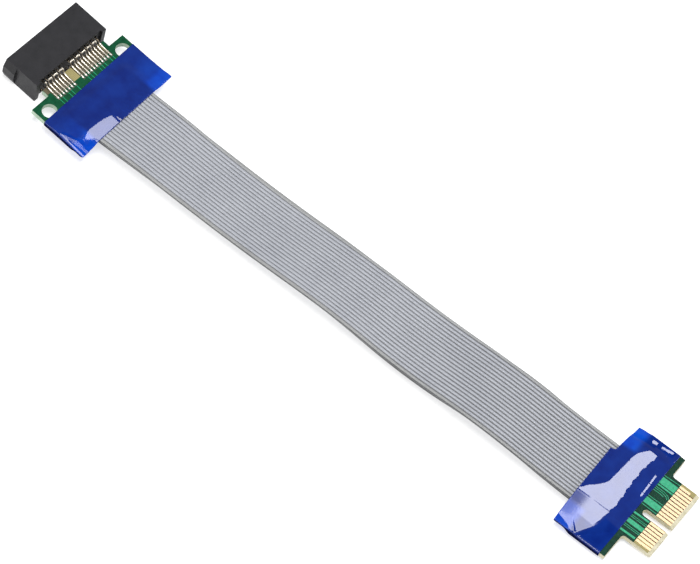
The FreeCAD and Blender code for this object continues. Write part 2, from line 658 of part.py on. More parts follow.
def plug_board():
    """Plug board: wide shoulders, and a tongue with a key slot, rounded roots and a bevelled end."""
    body = new_body("plug_board", plug_place)
    outline = new_sketch(body, "outline", "XY_Plane")
    low = "(plug_board_shift - plug_board_width / 2)"
    high = "(plug_board_shift + plug_board_width / 2)"
    back = f"({PLUG_SHOULDER} - plug_board_depth)"
    draw_line(outline, (
        (back, low),
        (PLUG_SHOULDER, low),
        (PLUG_SHOULDER, FAR_EDGE),
        (TONGUE_END, FAR_EDGE),
        (TONGUE_END, NEAR_EDGE),
        (PLUG_SHOULDER, NEAR_EDGE),
        (PLUG_SHOULDER, high),
        (back, high),
    ))
    pad = extrude("Pad", body, outline, "board_stock", symmetric=True)
    doc.recompute()
    roots = [Vector(number(PLUG_SHOULDER), number(edge), 0) for edge in (NEAR_EDGE, FAR_EDGE)]
    names = []
    for index, edge in enumerate(pad.Shape.Edges, start=1):
        if any(edge.CenterOfMass.distanceToPoint(root) < SAME_PLACE for root in roots):
            names.append(f"Edge{index}")
    rounding = body.newObject("PartDesign::Fillet", "plug_board_roots")
    rounding.Base = (pad, names)
    rounding.setExpression("Radius", bound("plug_corner"))
    slot = new_sketch(body, "key_slot", "XY_Plane")
    floor = f"({TONGUE_END} - key_depth + key_slot / 2)"
    past_end = f"{TONGUE_END} + key_slot"
    draw_box(slot, (floor, f"{KEY_MIDDLE} - key_slot / 2"), (past_end, f"{KEY_MIDDLE} + key_slot / 2"))
    extrude("Pocket", body, slot, "2 * board_stock", symmetric=True)
    round_end = new_sketch(body, "key_end", "XY_Plane")
    draw_circle(round_end, (floor, KEY_MIDDLE), "key_slot")
    extrude("Pocket", body, round_end, "2 * board_stock", symmetric=True)
    bevel = new_sketch(body, "bevel", "XZ_Plane")
    for side in ("", "-"):
        draw_line(bevel, (
            (f"{TONGUE_END} - bevel_length", f"{side}{BOARD_FACE}"),
            (TONGUE_END, f"{side}{BOARD_FACE}"),
            (TONGUE_END, f"{side}({BOARD_FACE} - bevel_rise)"),
        ))
    extrude("Pocket", body, bevel, "2 * plug_board_width", symmetric=True)


def fingers(name, side):
    """Gold contact fingers of one face; the first-mate finger is shorter than the rest."""
    body = new_body(name, plug_place)
    end = f"({TONGUE_END} - bevel_length)"
    whole = (f"{end} - finger_length", end)
    short = (f"{end} - finger_length", f"{end} - short_finger_cut")
    if side > 0:
        rows = (
            ("first", short, NEAR_FIRST, ""),
            ("near", whole, f"({NEAR_FIRST} - contact_pitch)", "near_count - 1"),
            ("far", whole, FAR_FIRST, "far_count"),
        )
    else:
        rows = (
            ("near", whole, NEAR_FIRST, "near_count"),
            ("far", whole, FAR_FIRST, "far_count - 2"),
            ("first", short, f"({FAR_LAST} + contact_pitch)", ""),
            ("last", whole, FAR_LAST, ""),
        )
    for label, along, first, count in rows:
        flat_row(body, label, along, "finger_width", first, count, "contact_pitch", side, "finger_stock")


# The ribbons' soldered ends: at the socket the conductors run back towards the slot.
socket_bond_end = cable_exit - heading.multVec(Vector(number("socket_bond"), 0, 0))
socket_wire_place = Placement(socket_bond_end + Vector(0, 0, number(SOCKET_LEVEL)),
                              heading.multiply(Rotation(Vector(0, 0, 1), 180)))
plug_bond_end = plug_origin + heading.multVec(Vector(number("plug_bond"), number("plug_ribbon_shift"), 0))
plug_wire_place = Placement(plug_bond_end + Vector(0, 0, number(PLUG_LEVEL)), heading)
PAD_MIDDLE = "(wire_bend + wire_length + solder_reach) / 2"
pad_middle = socket_bond_end - heading.multVec(Vector(number(PAD_MIDDLE), 0, 0))
socket_pad_place = Placement(pad_middle + Vector(0, 0, number(SOCKET_LEVEL)), Rotation())

slot_housing()
socket_board()
socket_tape()
for face, side in (("upper", 1), ("lower", -1)):
    contact_row(f"{face}_contacts", side)
    tail_pads(f"socket_{face}_pads", side)
    tail_solder(f"socket_{face}_solder", side)
    at_socket = beside(socket_wire_place, side)
    at_plug = beside(plug_wire_place, side)
    wire_pads(f"socket_{face}_wire_pads", side, beside(socket_pad_place, side), "0")
    wire_ends(f"socket_{face}_wire_ends", side, at_socket)
    wire_solder(f"socket_{face}_wire_solder", side, at_socket)
    wire_pads(f"plug_{face}_wire_pads", side, at_plug, PAD_MIDDLE)
    wire_ends(f"plug_{face}_wire_ends", side, at_plug)
    wire_solder(f"plug_{face}_wire_solder", side, at_plug)
    fingers(f"plug_{face}_fingers", side)
plug_board()
plug_tape()
ribbons = [ribbon("upper_ribbon", 1, UPPER_ROUTE), ribbon("lower_ribbon", -1, LOWER_ROUTE)]
doc.recompute()

for body, radii, length in ribbons:
    area = number("ribbon_width * ribbon_stock - 2 * ribbon_edge * ribbon_edge")
    share = body.Shape.Volume / (area * length)
    print(body.Label, "length", round(length, 2), "volume against section times length", round(share, 4))
    print("  radii", [round(radius) for radius in radii])

faults = []
for item in doc.Objects:
    if "Invalid" in item.State or "Error" in item.State:
        faults.append(f"{item.Name}: {item.State}")
for item in subparts:
    if item.Shape.isNull() or not item.Shape.isValid():
        faults.append(f"{item.Label}: shape is null or not valid")
if faults:
    raise RuntimeError("; ".join(faults))

os.makedirs("parts", exist_ok=True)
for item in subparts:
    item.Shape.exportStep(os.path.join("parts", f"{item.Label}.step"))
    print(item.Label, len(item.Shape.Solids), "solids", round(item.Shape.Volume, 3), "mm3")
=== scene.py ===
# %% [markdown]
# # A slot extension cable, piece by piece
# A black card slot sits on a small green board, two stacked grey ribbons run to a second board with a gold
# card edge, and blue film wraps both boards where the ribbons are soldered on. The solid model already has
# every piece in place, in metres, so this lesson only dresses it: it swaps a few plain solids for finer
# meshes and gives every surface a finish.

# %% Load the solid model as a fixed frame
import json
import math

import bmesh
import bpy
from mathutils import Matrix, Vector, noise


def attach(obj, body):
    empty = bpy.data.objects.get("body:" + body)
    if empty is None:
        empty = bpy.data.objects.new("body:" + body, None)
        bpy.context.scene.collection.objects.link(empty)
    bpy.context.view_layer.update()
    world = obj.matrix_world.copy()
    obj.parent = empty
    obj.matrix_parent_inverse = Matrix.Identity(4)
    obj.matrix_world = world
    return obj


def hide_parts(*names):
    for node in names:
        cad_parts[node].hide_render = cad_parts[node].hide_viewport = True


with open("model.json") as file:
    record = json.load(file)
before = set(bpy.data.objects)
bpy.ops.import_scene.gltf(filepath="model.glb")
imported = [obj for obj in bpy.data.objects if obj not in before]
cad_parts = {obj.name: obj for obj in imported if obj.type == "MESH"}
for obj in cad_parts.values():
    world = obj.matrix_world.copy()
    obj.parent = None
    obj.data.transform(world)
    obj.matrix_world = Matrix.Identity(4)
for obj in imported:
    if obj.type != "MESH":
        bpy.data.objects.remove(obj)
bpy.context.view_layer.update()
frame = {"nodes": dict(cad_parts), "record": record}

nodes = frame["nodes"]

# %% [markdown]
# ## Where things are
# The slot is square to X. The ribbons leave its tape at a small angle, and the plug keeps that angle. Three
# short helpers turn a measure in millimetres into the shared frame: one for the slot, one for a ribbon and
# one for the plug. Reading a drawing is much easier when each end has its own zero.

# %% Places in the shared frame
MM = 0.001
SLOT_LEVEL = 3.75
PLUG_LEVEL = 1.87
SKEW = math.radians(5.5)
CABLE_EXIT = (25.85, -1.0)
FREE_SPAN = 146.9
PLUG_RIBBON_SHIFT = -1.7


def slot_place(x, y, z):
    """A point measured from the middle of the slot, with heights from the board's middle."""
    return Vector((x, y, z + SLOT_LEVEL)) * MM


def ribbon_place(u, across, z):
    """A point measured along and across a ribbon from the slot's tape, with heights from the table."""
    x = CABLE_EXIT[0] + math.cos(SKEW) * u - math.sin(SKEW) * across
    y = CABLE_EXIT[1] + math.sin(SKEW) * u + math.cos(SKEW) * across
    return Vector((x, y, z)) * MM


def plug_place(x, y, z):
    """A point measured from the plug tape's rear edge, with heights from the plug board's middle."""
    return ribbon_place(FREE_SPAN + x, y - PLUG_RIBBON_SHIFT, z + PLUG_LEVEL)


print("plug origin:", [round(v, 5) for v in plug_place(0, 0, 0)])

# %% [markdown]
# ## Table, light and camera
# Product photos of small parts are shot on a pale table from a long way off with a long lens, so lines stay
# nearly parallel. The camera's place was worked out from the contact pitch and the corners of the boards.
# Three wide panels give the even light. Two strip lights, one for each tape, stand where only the sloping
# parts of the shiny film mirror them, which is what draws the crisp pale patches on the tape.

# %% Table
TABLE_HALF = 4.0
TABLE_DROP = 0.04


def wear(mesh, finish):
    mesh.materials.clear()
    mesh.materials.append(finish)


def link_piece(name, data, finish=None):
    """A new object in the scene, left at the origin."""
    piece = bpy.data.objects.new(name, data)
    bpy.context.scene.collection.objects.link(piece)
    if finish is not None:
        wear(data, finish)
    return piece


corners = [(x * TABLE_HALF, y * TABLE_HALF, -TABLE_DROP * MM)
           for x, y in ((-1, -1), (1, -1), (1, 1), (-1, 1))]
table_top = bpy.data.meshes.new("table")
table_top.from_pydata(corners, [], [(0, 1, 2, 3)])
table = link_piece("table", table_top)
print("table:", 2 * TABLE_HALF, "m wide")

# %% Camera
IMAGE_WIDTH = 700
FOCAL_PIXELS = 5000.0
CAMERA_PLACE = (0.373175, -0.551775, 1.073178)
CAMERA_TURN = (28.94776, -9.21934, 42.57531)
lens = bpy.data.cameras.new("camera")
lens.sensor_fit = "HORIZONTAL"
lens.sensor_width = 36.0
lens.lens = FOCAL_PIXELS / IMAGE_WIDTH * lens.sensor_width
lens.clip_end = 20.0
camera = link_piece("camera", lens)
camera.location = CAMERA_PLACE
camera.rotation_euler = [math.radians(angle) for angle in CAMERA_TURN]
bpy.context.scene.camera = camera
print("lens:", round(lens.lens, 2), "mm")

# %% Lights
NEUTRAL, COOL = (1.0, 1.0, 1.0), (0.93, 0.94, 1.0)
CABLE_MIDDLE = (0.09, 0.0, 0.0)
LAMPS = {  # place, aim, size, watts, tint
    "overhead_panel": ((0.10, -0.08, 1.45), CABLE_MIDDLE, (0.7, 0.7), 14.0, NEUTRAL),
    "front_panel": ((-0.3, -1.2, 0.6), CABLE_MIDDLE, (1.2, 0.6), 8.0, NEUTRAL),
    "right_panel": ((1.3, 0.3, 0.6), CABLE_MIDDLE, (0.9, 0.5), 4.5, NEUTRAL),
    "plug_strip": ((0.175, 0.40, 0.85), (0.18, 0.014, 0.004), (0.11, 0.48), 2.35, COOL),
    "socket_strip": ((-0.096, 0.40, 0.85), (0.024, -0.008, 0.006), (0.07, 0.3), 0.7, COOL),
}
for name, (place, aim, size, watts, tint) in LAMPS.items():
    lamp = bpy.data.lights.new(name, "AREA")
    lamp.shape = "RECTANGLE"
    lamp.size, lamp.size_y = size
    lamp.energy = watts
    lamp.color = tint
    holder = link_piece(name, lamp)
    holder.location = place
    holder.rotation_euler = (Vector(aim) - Vector(place)).to_track_quat("-Z", "Y").to_euler()

world = bpy.data.worlds.new("studio")
world.use_nodes = True
backdrop = world.node_tree.nodes["Background"]
backdrop.inputs["Color"].default_value = (0.95, 0.97, 1.0, 1.0)
backdrop.inputs["Strength"].default_value = 0.22
bpy.context.scene.world = world
bpy.context.scene.view_settings.view_transform = "Standard"
print("lights:", list(LAMPS))

# %% [markdown]
# ## A small kit for finishes
# Every finish below is a few nodes: a place on the piece, a pattern, a mix of two colours and one main
# shader. The helpers only save typing. Two effects come back in nearly all of them, so they are node groups:
# a soft mottle that keeps colours from being flat, and a fine grain that breaks up the shine.

# %% Node helpers
def feed(tree, node, sources):
    """Link each listed socket to a node's first or other output, or set it to a plain value."""
    for label, source in sources.items():
        if isinstance(source, bpy.types.Node):
            source = source.outputs[0]
        if isinstance(source, bpy.types.NodeSocket):
            tree.links.new(source, node.inputs[label])
        else:
            node.inputs[label].default_value = source


def new_node(tree, kind, sources=None, **settings):
    node = tree.nodes.new(kind)
    for key, value in settings.items():
        setattr(node, key, value)
    feed(tree, node, sources or {})
    return node


def maths(tree, operation, *sources):
    return new_node(tree, "ShaderNodeMath", dict(enumerate(sources)), operation=operation)


def blend(tree, share, first, second):
    """A mix of two colours, each from a node or three plain numbers."""
    first, second = ((*c, 1.0) if isinstance(c, tuple) else c for c in (first, second))
    return new_node(tree, "ShaderNodeMix", {0: share, 6: first, 7: second}, data_type="RGBA").outputs[2]


def spread(tree, value, low, high, start=0.0, stop=1.0):
    """A value remapped from start..stop to low..high and kept inside."""
    return new_node(tree, "ShaderNodeMapRange", dict(enumerate((value, start, stop, low, high))))


def object_place(tree):
    return new_node(tree, "ShaderNodeTexCoord").outputs["Object"]


def axes_of(tree, vector):
    return new_node(tree, "ShaderNodeSeparateXYZ", {0: vector}).outputs


def attribute(tree, label):
    """A number that the mesh keeps for each of its points."""
    return new_node(tree, "ShaderNodeAttribute", attribute_name=label).outputs["Fac"]


def new_tree(name, kind, inputs, outputs):
    """An empty node tree with its sockets, what it is given, and the node that gives the result."""
    tree = bpy.data.node_groups.new(name, kind)
    for way, sockets in (("INPUT", inputs), ("OUTPUT", outputs)):
        for label, form, default in sockets:
            socket = tree.interface.new_socket(label, in_out=way, socket_type=f"NodeSocket{form}")
            if default is not None:
                socket.default_value = default
    return tree, new_node(tree, "NodeGroupInput").outputs, new_node(tree, "NodeGroupOutput")


# %% Two shared effects
mottle, asks, gives = new_tree(
    "soft_mottle", "ShaderNodeTree",
    [("Scale", "Float", 300.0), ("Detail", "Float", 2.0)], [("Mask", "Float", None)])
cloud = new_node(mottle, "ShaderNodeTexNoise", {
    "Vector": object_place(mottle), "Scale": asks["Scale"], "Detail": asks["Detail"]})
feed(mottle, gives, {"Mask": spread(mottle, cloud, 0.0, 1.0, 0.3, 0.7)})

grain, asks, gives = new_tree(
    "fine_grain", "ShaderNodeTree", [("Scale", "Float", 6000.0)], [("Height", "Float", None)])
specks = [new_node(grain, kind, {"Vector": object_place(grain), "Scale": asks["Scale"]})
          for kind in ("ShaderNodeTexVoronoi", "ShaderNodeTexNoise")]
feed(grain, gives, {"Height": maths(grain, "ADD", *specks)})


def use_group(tree, group, **values):
    sources = {label.capitalize(): value for label, value in values.items()}
    return new_node(tree, "ShaderNodeGroup", sources, node_tree=group)


print("shared effects:", mottle.name, grain.name)


# %% Start and end of every finish
def new_finish(name):
    material = bpy.data.materials.new(name)
    material.use_nodes = True
    tree = material.node_tree
    shader = next(n for n in tree.nodes if n.type == "BSDF_PRINCIPLED")
    return material, tree, shader


def relief(tree, height, strength, depth):
    """Fine relief for a shader's normal; the depth is in millimetres."""
    sources = {"Height": height, "Strength": strength, "Distance": depth * MM}
    return new_node(tree, "ShaderNodeBump", sources)


pale_table, tree, shader = new_finish("pale_table")
patches = use_group(tree, mottle, scale=3.0)
feed(tree, shader, {
    "Base Color": blend(tree, patches, (0.62, 0.62, 0.623), (0.633, 0.633, 0.633)),
    "Roughness": 0.9,
    "Specular IOR Level": 0.0,
    "Emission Color": (1.0, 1.0, 1.0, 1.0),
    "Emission Strength": 0.58})
wear(table_top, pale_table)
print("table wears", pale_table.name)

# %% [markdown]
# ## Moulded black
# The slot housing is glass-filled plastic from a mould: nearly black, slightly dusty grey where light grazes
# it, with a fine eroded texture and edges that are never razor sharp. A bevel on a cleaned copy of the solid
# gives those edges, and a grain in the bump gives the texture.

# %% Moulded black finish
black_moulding, tree, shader = new_finish("black_moulding")
patches = use_group(tree, mottle, scale=420.0, detail=3.0)
pits = use_group(tree, grain, scale=5200.0)
feed(tree, shader, {
    "Base Color": blend(tree, patches, (0.009, 0.009, 0.0105), (0.016, 0.0155, 0.018)),
    "Roughness": spread(tree, patches, 0.42, 0.56),
    "Specular IOR Level": 0.3,
    "Normal": relief(tree, pits, 0.35, 0.04)})
print("finish:", black_moulding.name)

# %% Slot housing with soft edges
EDGE_ROUND = 0.09
WELD = 1e-6
FLAT_WITHIN, SHARP_FROM = math.radians(1.0), math.radians(35)


def dress(piece, slot_name, *replaced):
    """Parent a finished piece to the root body and hide the solid nodes it replaces."""
    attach(piece, "root")
    if replaced:
        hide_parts(*replaced)
    print(piece.name, len(piece.data.polygons), "faces")


mesh = nodes["slot_housing"].data.copy()
cleaner = bmesh.new()
cleaner.from_mesh(mesh)
bmesh.ops.remove_doubles(cleaner, verts=cleaner.verts, dist=WELD)
bmesh.ops.dissolve_limit(cleaner, angle_limit=FLAT_WITHIN, verts=cleaner.verts, edges=cleaner.edges)
cleaner.to_mesh(mesh)
cleaner.free()
if "custom_normal" in mesh.attributes:
    mesh.attributes.remove(mesh.attributes["custom_normal"])
housing = link_piece("moulded_housing", mesh, black_moulding)
edge = housing.modifiers.new("soft_edges", "BEVEL")
edge.width = EDGE_ROUND * MM
edge.segments = 2
edge.limit_method = "ANGLE"
edge.angle_limit = SHARP_FROM
dress(housing, "black_moulding", "slot_housing")

# %% [markdown]
# ## Metals
# Four metals show: tinned contact tails, gold-flashed fingers, dull tin on the tails' pads and bright solder.
# Flat metal takes its look from what it mirrors, so the finishes only differ in tint and in how blurred the
# mirror is. Near the housing a contact gets a dark bronze colour, a painted shade for the housing's shadow;
# along its tail and on its raised neck it is tinned.

# %% Metal finishes
def mottled_finish(name, scale, detail, dark, light, rough, more):
    """A finish that wavers between two colours and two roughnesses."""
    material, tree, shader = new_finish(name)
    patches = use_group(tree, mottle, scale=scale, detail=detail)
    feed(tree, shader, {
        "Base Color": blend(tree, patches, dark, light), "Roughness": spread(tree, patches, *rough), **more})
    return material


METALS = {  # scale of the mottle, dark tint, light tint, roughness
    "gold_flash": (1500.0, (0.50, 0.355, 0.198), (0.615, 0.455, 0.295), (0.36, 0.5)),
    "dull_tin": (1100.0, (0.10, 0.115, 0.085), (0.17, 0.175, 0.135), (0.42, 0.52)),
    "bright_solder": (1100.0, (0.72, 0.70, 0.66), (0.86, 0.84, 0.80), (0.32, 0.42)),
}
gold, dull_tin, solder = (mottled_finish(name, scale, 4.0, *look, {"Metallic": 1.0})
                          for name, (scale, *look) in METALS.items())
print("metals:", gold.name, dull_tin.name, solder.name)

# %% Contact finish
# where the painted shade near the housing ends along the contacts, in millimetres along X
HOUSING_SHADE_END, HOUSING_SHADE_FADE = 5.95, 0.35
NECK_FROM, NECK_FADE = 2.12, 0.12
tinned, tree, shader = new_finish("tinned_contact")
x, y, z = axes_of(tree, object_place(tree))
on_tail = spread(tree, x, 0.0, 1.0, HOUSING_SHADE_END * MM, (HOUSING_SHADE_END + HOUSING_SHADE_FADE) * MM)
from_board = maths(tree, "ABSOLUTE", maths(tree, "SUBTRACT", z, SLOT_LEVEL * MM))
on_neck = spread(tree, from_board, 0.0, 1.0, NECK_FROM * MM, (NECK_FROM + NECK_FADE) * MM)
patches = use_group(tree, mottle, scale=2600.0, detail=4.0)
# painted shade: near the housing the contacts take a dark bronze colour, as if in its shadow
housing_shade_bronze = blend(tree, patches, (0.15, 0.12, 0.085), (0.22, 0.18, 0.13))
tin = blend(tree, patches, (0.60, 0.54, 0.44), (0.76, 0.71, 0.61))
feed(tree, shader, {
    "Base Color": blend(tree, maths(tree, "MAXIMUM", on_tail, on_neck), housing_shade_bronze, tin),
    "Roughness": spread(tree, patches, 0.24, 0.38),
    "Metallic": 1.0})
print("finish:", tinned.name)

# %% [markdown]
# ## Contact rows
# Each contact is one stamped strip: a flat foot on its pad, a bend up to the housing, then a hidden spring.
# The tails leave the housing at two heights in turn. A low tail slips straight out, and a raised one drops
# from a wide neck. One strip is a curve swept with a rounded section, and the row is that strip set out at
# the contact pitch, so a node tree does both jobs.

# %% Node trees: a strip or a mesh repeated in a row
GEOMETRY = ("Geometry", "Geometry", None)
MATERIAL = ("Material", "Material", None)
ROW = [("Count", "Int", 1), ("Pitch", "Float", 0.001), MATERIAL]


def finish_tree(tree, asks, gives, geometry):
    """Every tree ends the same way: real geometry, one material."""
    real = new_node(tree, "GeometryNodeRealizeInstances", {0: geometry})
    paint = {"Geometry": real, "Material": asks["Material"]}
    feed(tree, gives, {0: new_node(tree, "GeometryNodeSetMaterial", paint)})


def row_of(tree, asks, geometry):
    """Copies of some geometry in a line towards -Y."""
    backwards = maths(tree, "MULTIPLY", asks["Pitch"], -1.0)
    step = new_node(tree, "ShaderNodeCombineXYZ", {"Y": backwards})
    line = new_node(tree, "GeometryNodeMeshLine", {"Count": asks["Count"], "Offset": step})
    copies = {"Points": line, "Instance": geometry}
    return new_node(tree, "GeometryNodeInstanceOnPoints", copies)


strip_row, asks, gives = new_tree("strip_row", "GeometryNodeTree", [
    GEOMETRY, ("Width", "Float", 0.0005), ("Stock", "Float", 0.0002), ("Corner", "Float", 0.00005), *ROW],
    [GEOMETRY])
section = new_node(strip_row, "GeometryNodeCurvePrimitiveQuadrilateral", {
    "Width": asks["Width"], "Height": asks["Stock"]})
rounded = new_node(strip_row, "GeometryNodeFilletCurve", {
    "Curve": section, "Count": 2, "Radius": asks["Corner"]}, mode="POLY")
upright = new_node(strip_row, "GeometryNodeSetCurveNormal", {
    "Curve": asks["Geometry"], "Normal": (0.0, 1.0, 0.0)}, mode="FREE")
swept = new_node(strip_row, "GeometryNodeCurveToMesh", {
    "Curve": upright, "Profile Curve": rounded, "Fill Caps": True})
finish_tree(strip_row, asks, gives, row_of(strip_row, asks, swept))

mesh_row, asks, gives = new_tree("mesh_row", "GeometryNodeTree", [GEOMETRY, *ROW], [GEOMETRY])
finish_tree(mesh_row, asks, gives, row_of(mesh_row, asks, asks["Geometry"]))
print("node trees:", strip_row.name, mesh_row.name)


# %% From a node tree or a shape to a plain mesh
def grown(source, tree, **values):
    """Run a node tree on an object and return the result as a plain mesh; the object is removed."""
    maker = source.modifiers.new("maker", "NODES")
    maker.node_group = tree
    for socket in tree.interface.items_tree:
        if socket.in_out == "INPUT" and socket.name in values:
            maker[socket.identifier] = values[socket.name]
    bpy.context.view_layer.update()
    depsgraph = bpy.context.evaluated_depsgraph_get()
    mesh = bpy.data.meshes.new_from_object(source.evaluated_get(depsgraph))
    source.modifiers.remove(maker)
    bpy.data.objects.remove(source)
    return mesh


def smooth_curve(name, points, resolution):
    """A NURBS line through the frame; the points steer it and both ends are met."""
    line = bpy.data.curves.new(name, "CURVE")
    line.dimensions = "3D"
    line.resolution_u = resolution
    spline = line.splines.new("NURBS")
    spline.points.add(len(points) - 1)
    for point, place in zip(spline.points, points):
        point.co = (*place, 1.0)
    spline.order_u = 3
    spline.use_endpoint_u = True
    return link_piece(name, line)


def joined(name, meshes):
    """Several meshes as one."""
    whole = bmesh.new()
    for mesh in meshes:
        whole.from_mesh(mesh)
    result = bpy.data.meshes.new(name)
    whole.to_mesh(result)
    whole.free()
    return result


def span_rows(shape, rows, closed=False):
    """Faces between neighbouring rows of points; a closed row ends at its own start."""
    for near, far in zip(rows, rows[1:]):
        if closed:
            near, far = near + near[:1], far + far[:1]
        for corners in zip(near, near[1:], far[1:], far):
            shape.faces.new(corners)


def shape_mesh(name, shape, smooth, *finishes):
    """A finished shape as a mesh, with its faces turned outwards."""
    bmesh.ops.recalc_face_normals(shape, faces=shape.faces)
    for face in shape.faces:
        face.smooth = smooth
    mesh = bpy.data.meshes.new(name)
    for finish in finishes:
        mesh.materials.append(finish)
    shape.to_mesh(mesh)
    shape.free()
    return mesh


# %% Contact strips
FACES = {"upper": 1, "lower": -1}
PITCH = 1.0
FEET = 5.35
FOOT, SPRING, NECK = 0.96, 1.9, 2.5
FOOT_LINE = ((4.8, FOOT), (4.0, FOOT), (3.2, FOOT), (2.2, 1.02))  # past the feet's start, height
RAISED_TAIL = ((1.3, 1.17), (0.85, 1.45), (0.62, 1.95), (0.45, NECK), (0.05, NECK), (-0.2, SPRING))
LOW_TAIL = ((1.4, 1.1), (0.9, 1.22), (0.62, 1.5), (0.38, 1.86), (0.0, SPRING))
SPRING_LINE = ((-1.0, SPRING), (-1.95, SPRING), (-2.95, SPRING), (-3.35, SPRING), (-7.55, 0.9), (-8.1, 0.72),
               (-8.55, 0.85), (-9.5, 1.27))
TAIL_ROWS = ((True, 8.5, 5), (False, 9.5, 6), (True, -3.5, 4), (False, -4.5, 3))  # raised, first place, count
STRIP_WIDTH, STRIP_STOCK, STRIP_CORNER = 0.38, 0.22, 0.08
NECK_ROWS = ((8.5, 5, 1.12), (-3.5, 3, 1.12), (-9.5, 1, 0.2))  # first place, count, length of the wing
NECK_STEPS = ((0.06, 0.0), (0.22, 0.06), (0.38, 0.16))  # past the feet's start, drop
NECK_CROWN, NECK_STOCK = 0.16, 0.2


def contact_points(y, side, raised):
    """One contact from its toe to its sprung tip."""
    line = FOOT_LINE + (RAISED_TAIL if raised else LOW_TAIL) + SPRING_LINE
    return [slot_place(FEET + x, y, side * z) for x, z in line]


def neck_plate(y, side, wing):
    """The neck of a raised tail: a short sloping bar with one wing over the low tail beside it."""
    lanes = ((-wing - 0.08, 0.36), (-wing + 0.1, 0.22), (0.08, 0.04), (0.2, -0.04), (0.26, 0.06))
    bar = bmesh.new()
    span_rows(bar, [[bar.verts.new(slot_place(FEET + x, y + across, side * (NECK + NECK_CROWN - drop - sink)))
                     for across, drop in lanes] for x, sink in NECK_STEPS])
    bmesh.ops.recalc_face_normals(bar, faces=bar.faces)
    bmesh.ops.solidify(bar, geom=bar.faces[:], thickness=NECK_STOCK * MM)
    return shape_mesh("neck", bar, False)


for face, side in FACES.items():
    strips = []
    for raised, first, count in TAIL_ROWS:
        line = smooth_curve("contact_line", contact_points(first, side, raised), 6)
        strips.append(grown(line, strip_row, Count=count, Pitch=2 * PITCH * MM, Material=tinned,
                            Width=STRIP_WIDTH * MM, Stock=STRIP_STOCK * MM, Corner=STRIP_CORNER * MM))
    for first, count, wing in NECK_ROWS:
        bar = link_piece("neck_source", neck_plate(first, side, wing))
        strips.append(grown(bar, mesh_row, Count=count, Pitch=2 * PITCH * MM, Material=tinned))
    name = f"{face}_contact_row"
    dress(link_piece(name, joined(name, strips), tinned), "contact_metal", f"{face}_contacts")

# %% [markdown]
# ## Solder at the toes
# Where each tail ends, solder has run out onto the pad in a small hollow slope that wets both sides of the
# strip. A low patch of mesh with a hollow profile is enough, repeated by the same row tree.

# %% Solder fillets
GROUPS = ((9.5, 11), (-3.5, 7))  # first place and count of the contacts on each side of the key
TOE = FEET + 4.8
PAD_LEVEL = 0.85
HEAP_WIDTH, HEAP_HEIGHT, HEAP_REACH, HEAP_RIM = 0.34, 0.2, 0.36, 0.01
HEAP_WAIST, HEAP_TAPER, HEAP_BACK, HEAP_HOLLOW = 0.78, 0.25, 0.6, 0.7
STATIONS = (-0.8, -0.45, 0.0, 0.3, 0.62, 1.0)
LANES = (-1.0, -0.62, 0.0, 0.62, 1.0)


def solder_patch(y, side):
    """A hollow heap of solder around the tip of a tail, closed underneath."""
    heap = bmesh.new()
    top = []
    for station in STATIONS:
        ahead, behind = max(0.0, station), min(0.0, station)
        width = HEAP_WIDTH * (HEAP_WAIST - HEAP_TAPER * ahead)
        peak = HEAP_HEIGHT * (1.0 - ahead + HEAP_BACK * behind) ** 2
        top.append([heap.verts.new(slot_place(
            TOE + station * HEAP_REACH, y + lane * width,
            side * (PAD_LEVEL + HEAP_RIM + peak * (1.0 - abs(lane)) ** HEAP_HOLLOW))) for lane in LANES])
    span_rows(heap, top)
    rim = [e for e in heap.edges if e.is_boundary]
    floor = slot_place(TOE, y, side * PAD_LEVEL).z
    for vert in bmesh.ops.extrude_edge_only(heap, edges=rim)["geom"]:
        if isinstance(vert, bmesh.types.BMVert):
            vert.co.z = floor
    bmesh.ops.contextual_create(heap, geom=[e for e in heap.edges if e.is_boundary])
    return shape_mesh("solder", heap, True)


for face, side in FACES.items():
    heaps = [grown(link_piece("heap", solder_patch(first, side)), mesh_row,
                   Count=count, Pitch=PITCH * MM, Material=solder) for first, count in GROUPS]
    name = f"{face}_tail_solder"
    dress(link_piece(name, joined(name, heaps), solder), "solder", f"socket_{face}_solder")

# %% [markdown]
# ## Green boards
# A board is tan glass laminate with a coat of green mask. The mask is missing on the tongues, and the sawn
# edges show pale. Between the contacts the bare laminate is darkened, a painted shade for the tails'
# shadow. The finish therefore asks three questions of each point: is it a sawn edge, is it in a bare area,
# and is it in the painted shade between contacts.

# %% Board finishes
FACE_UP = 0.97


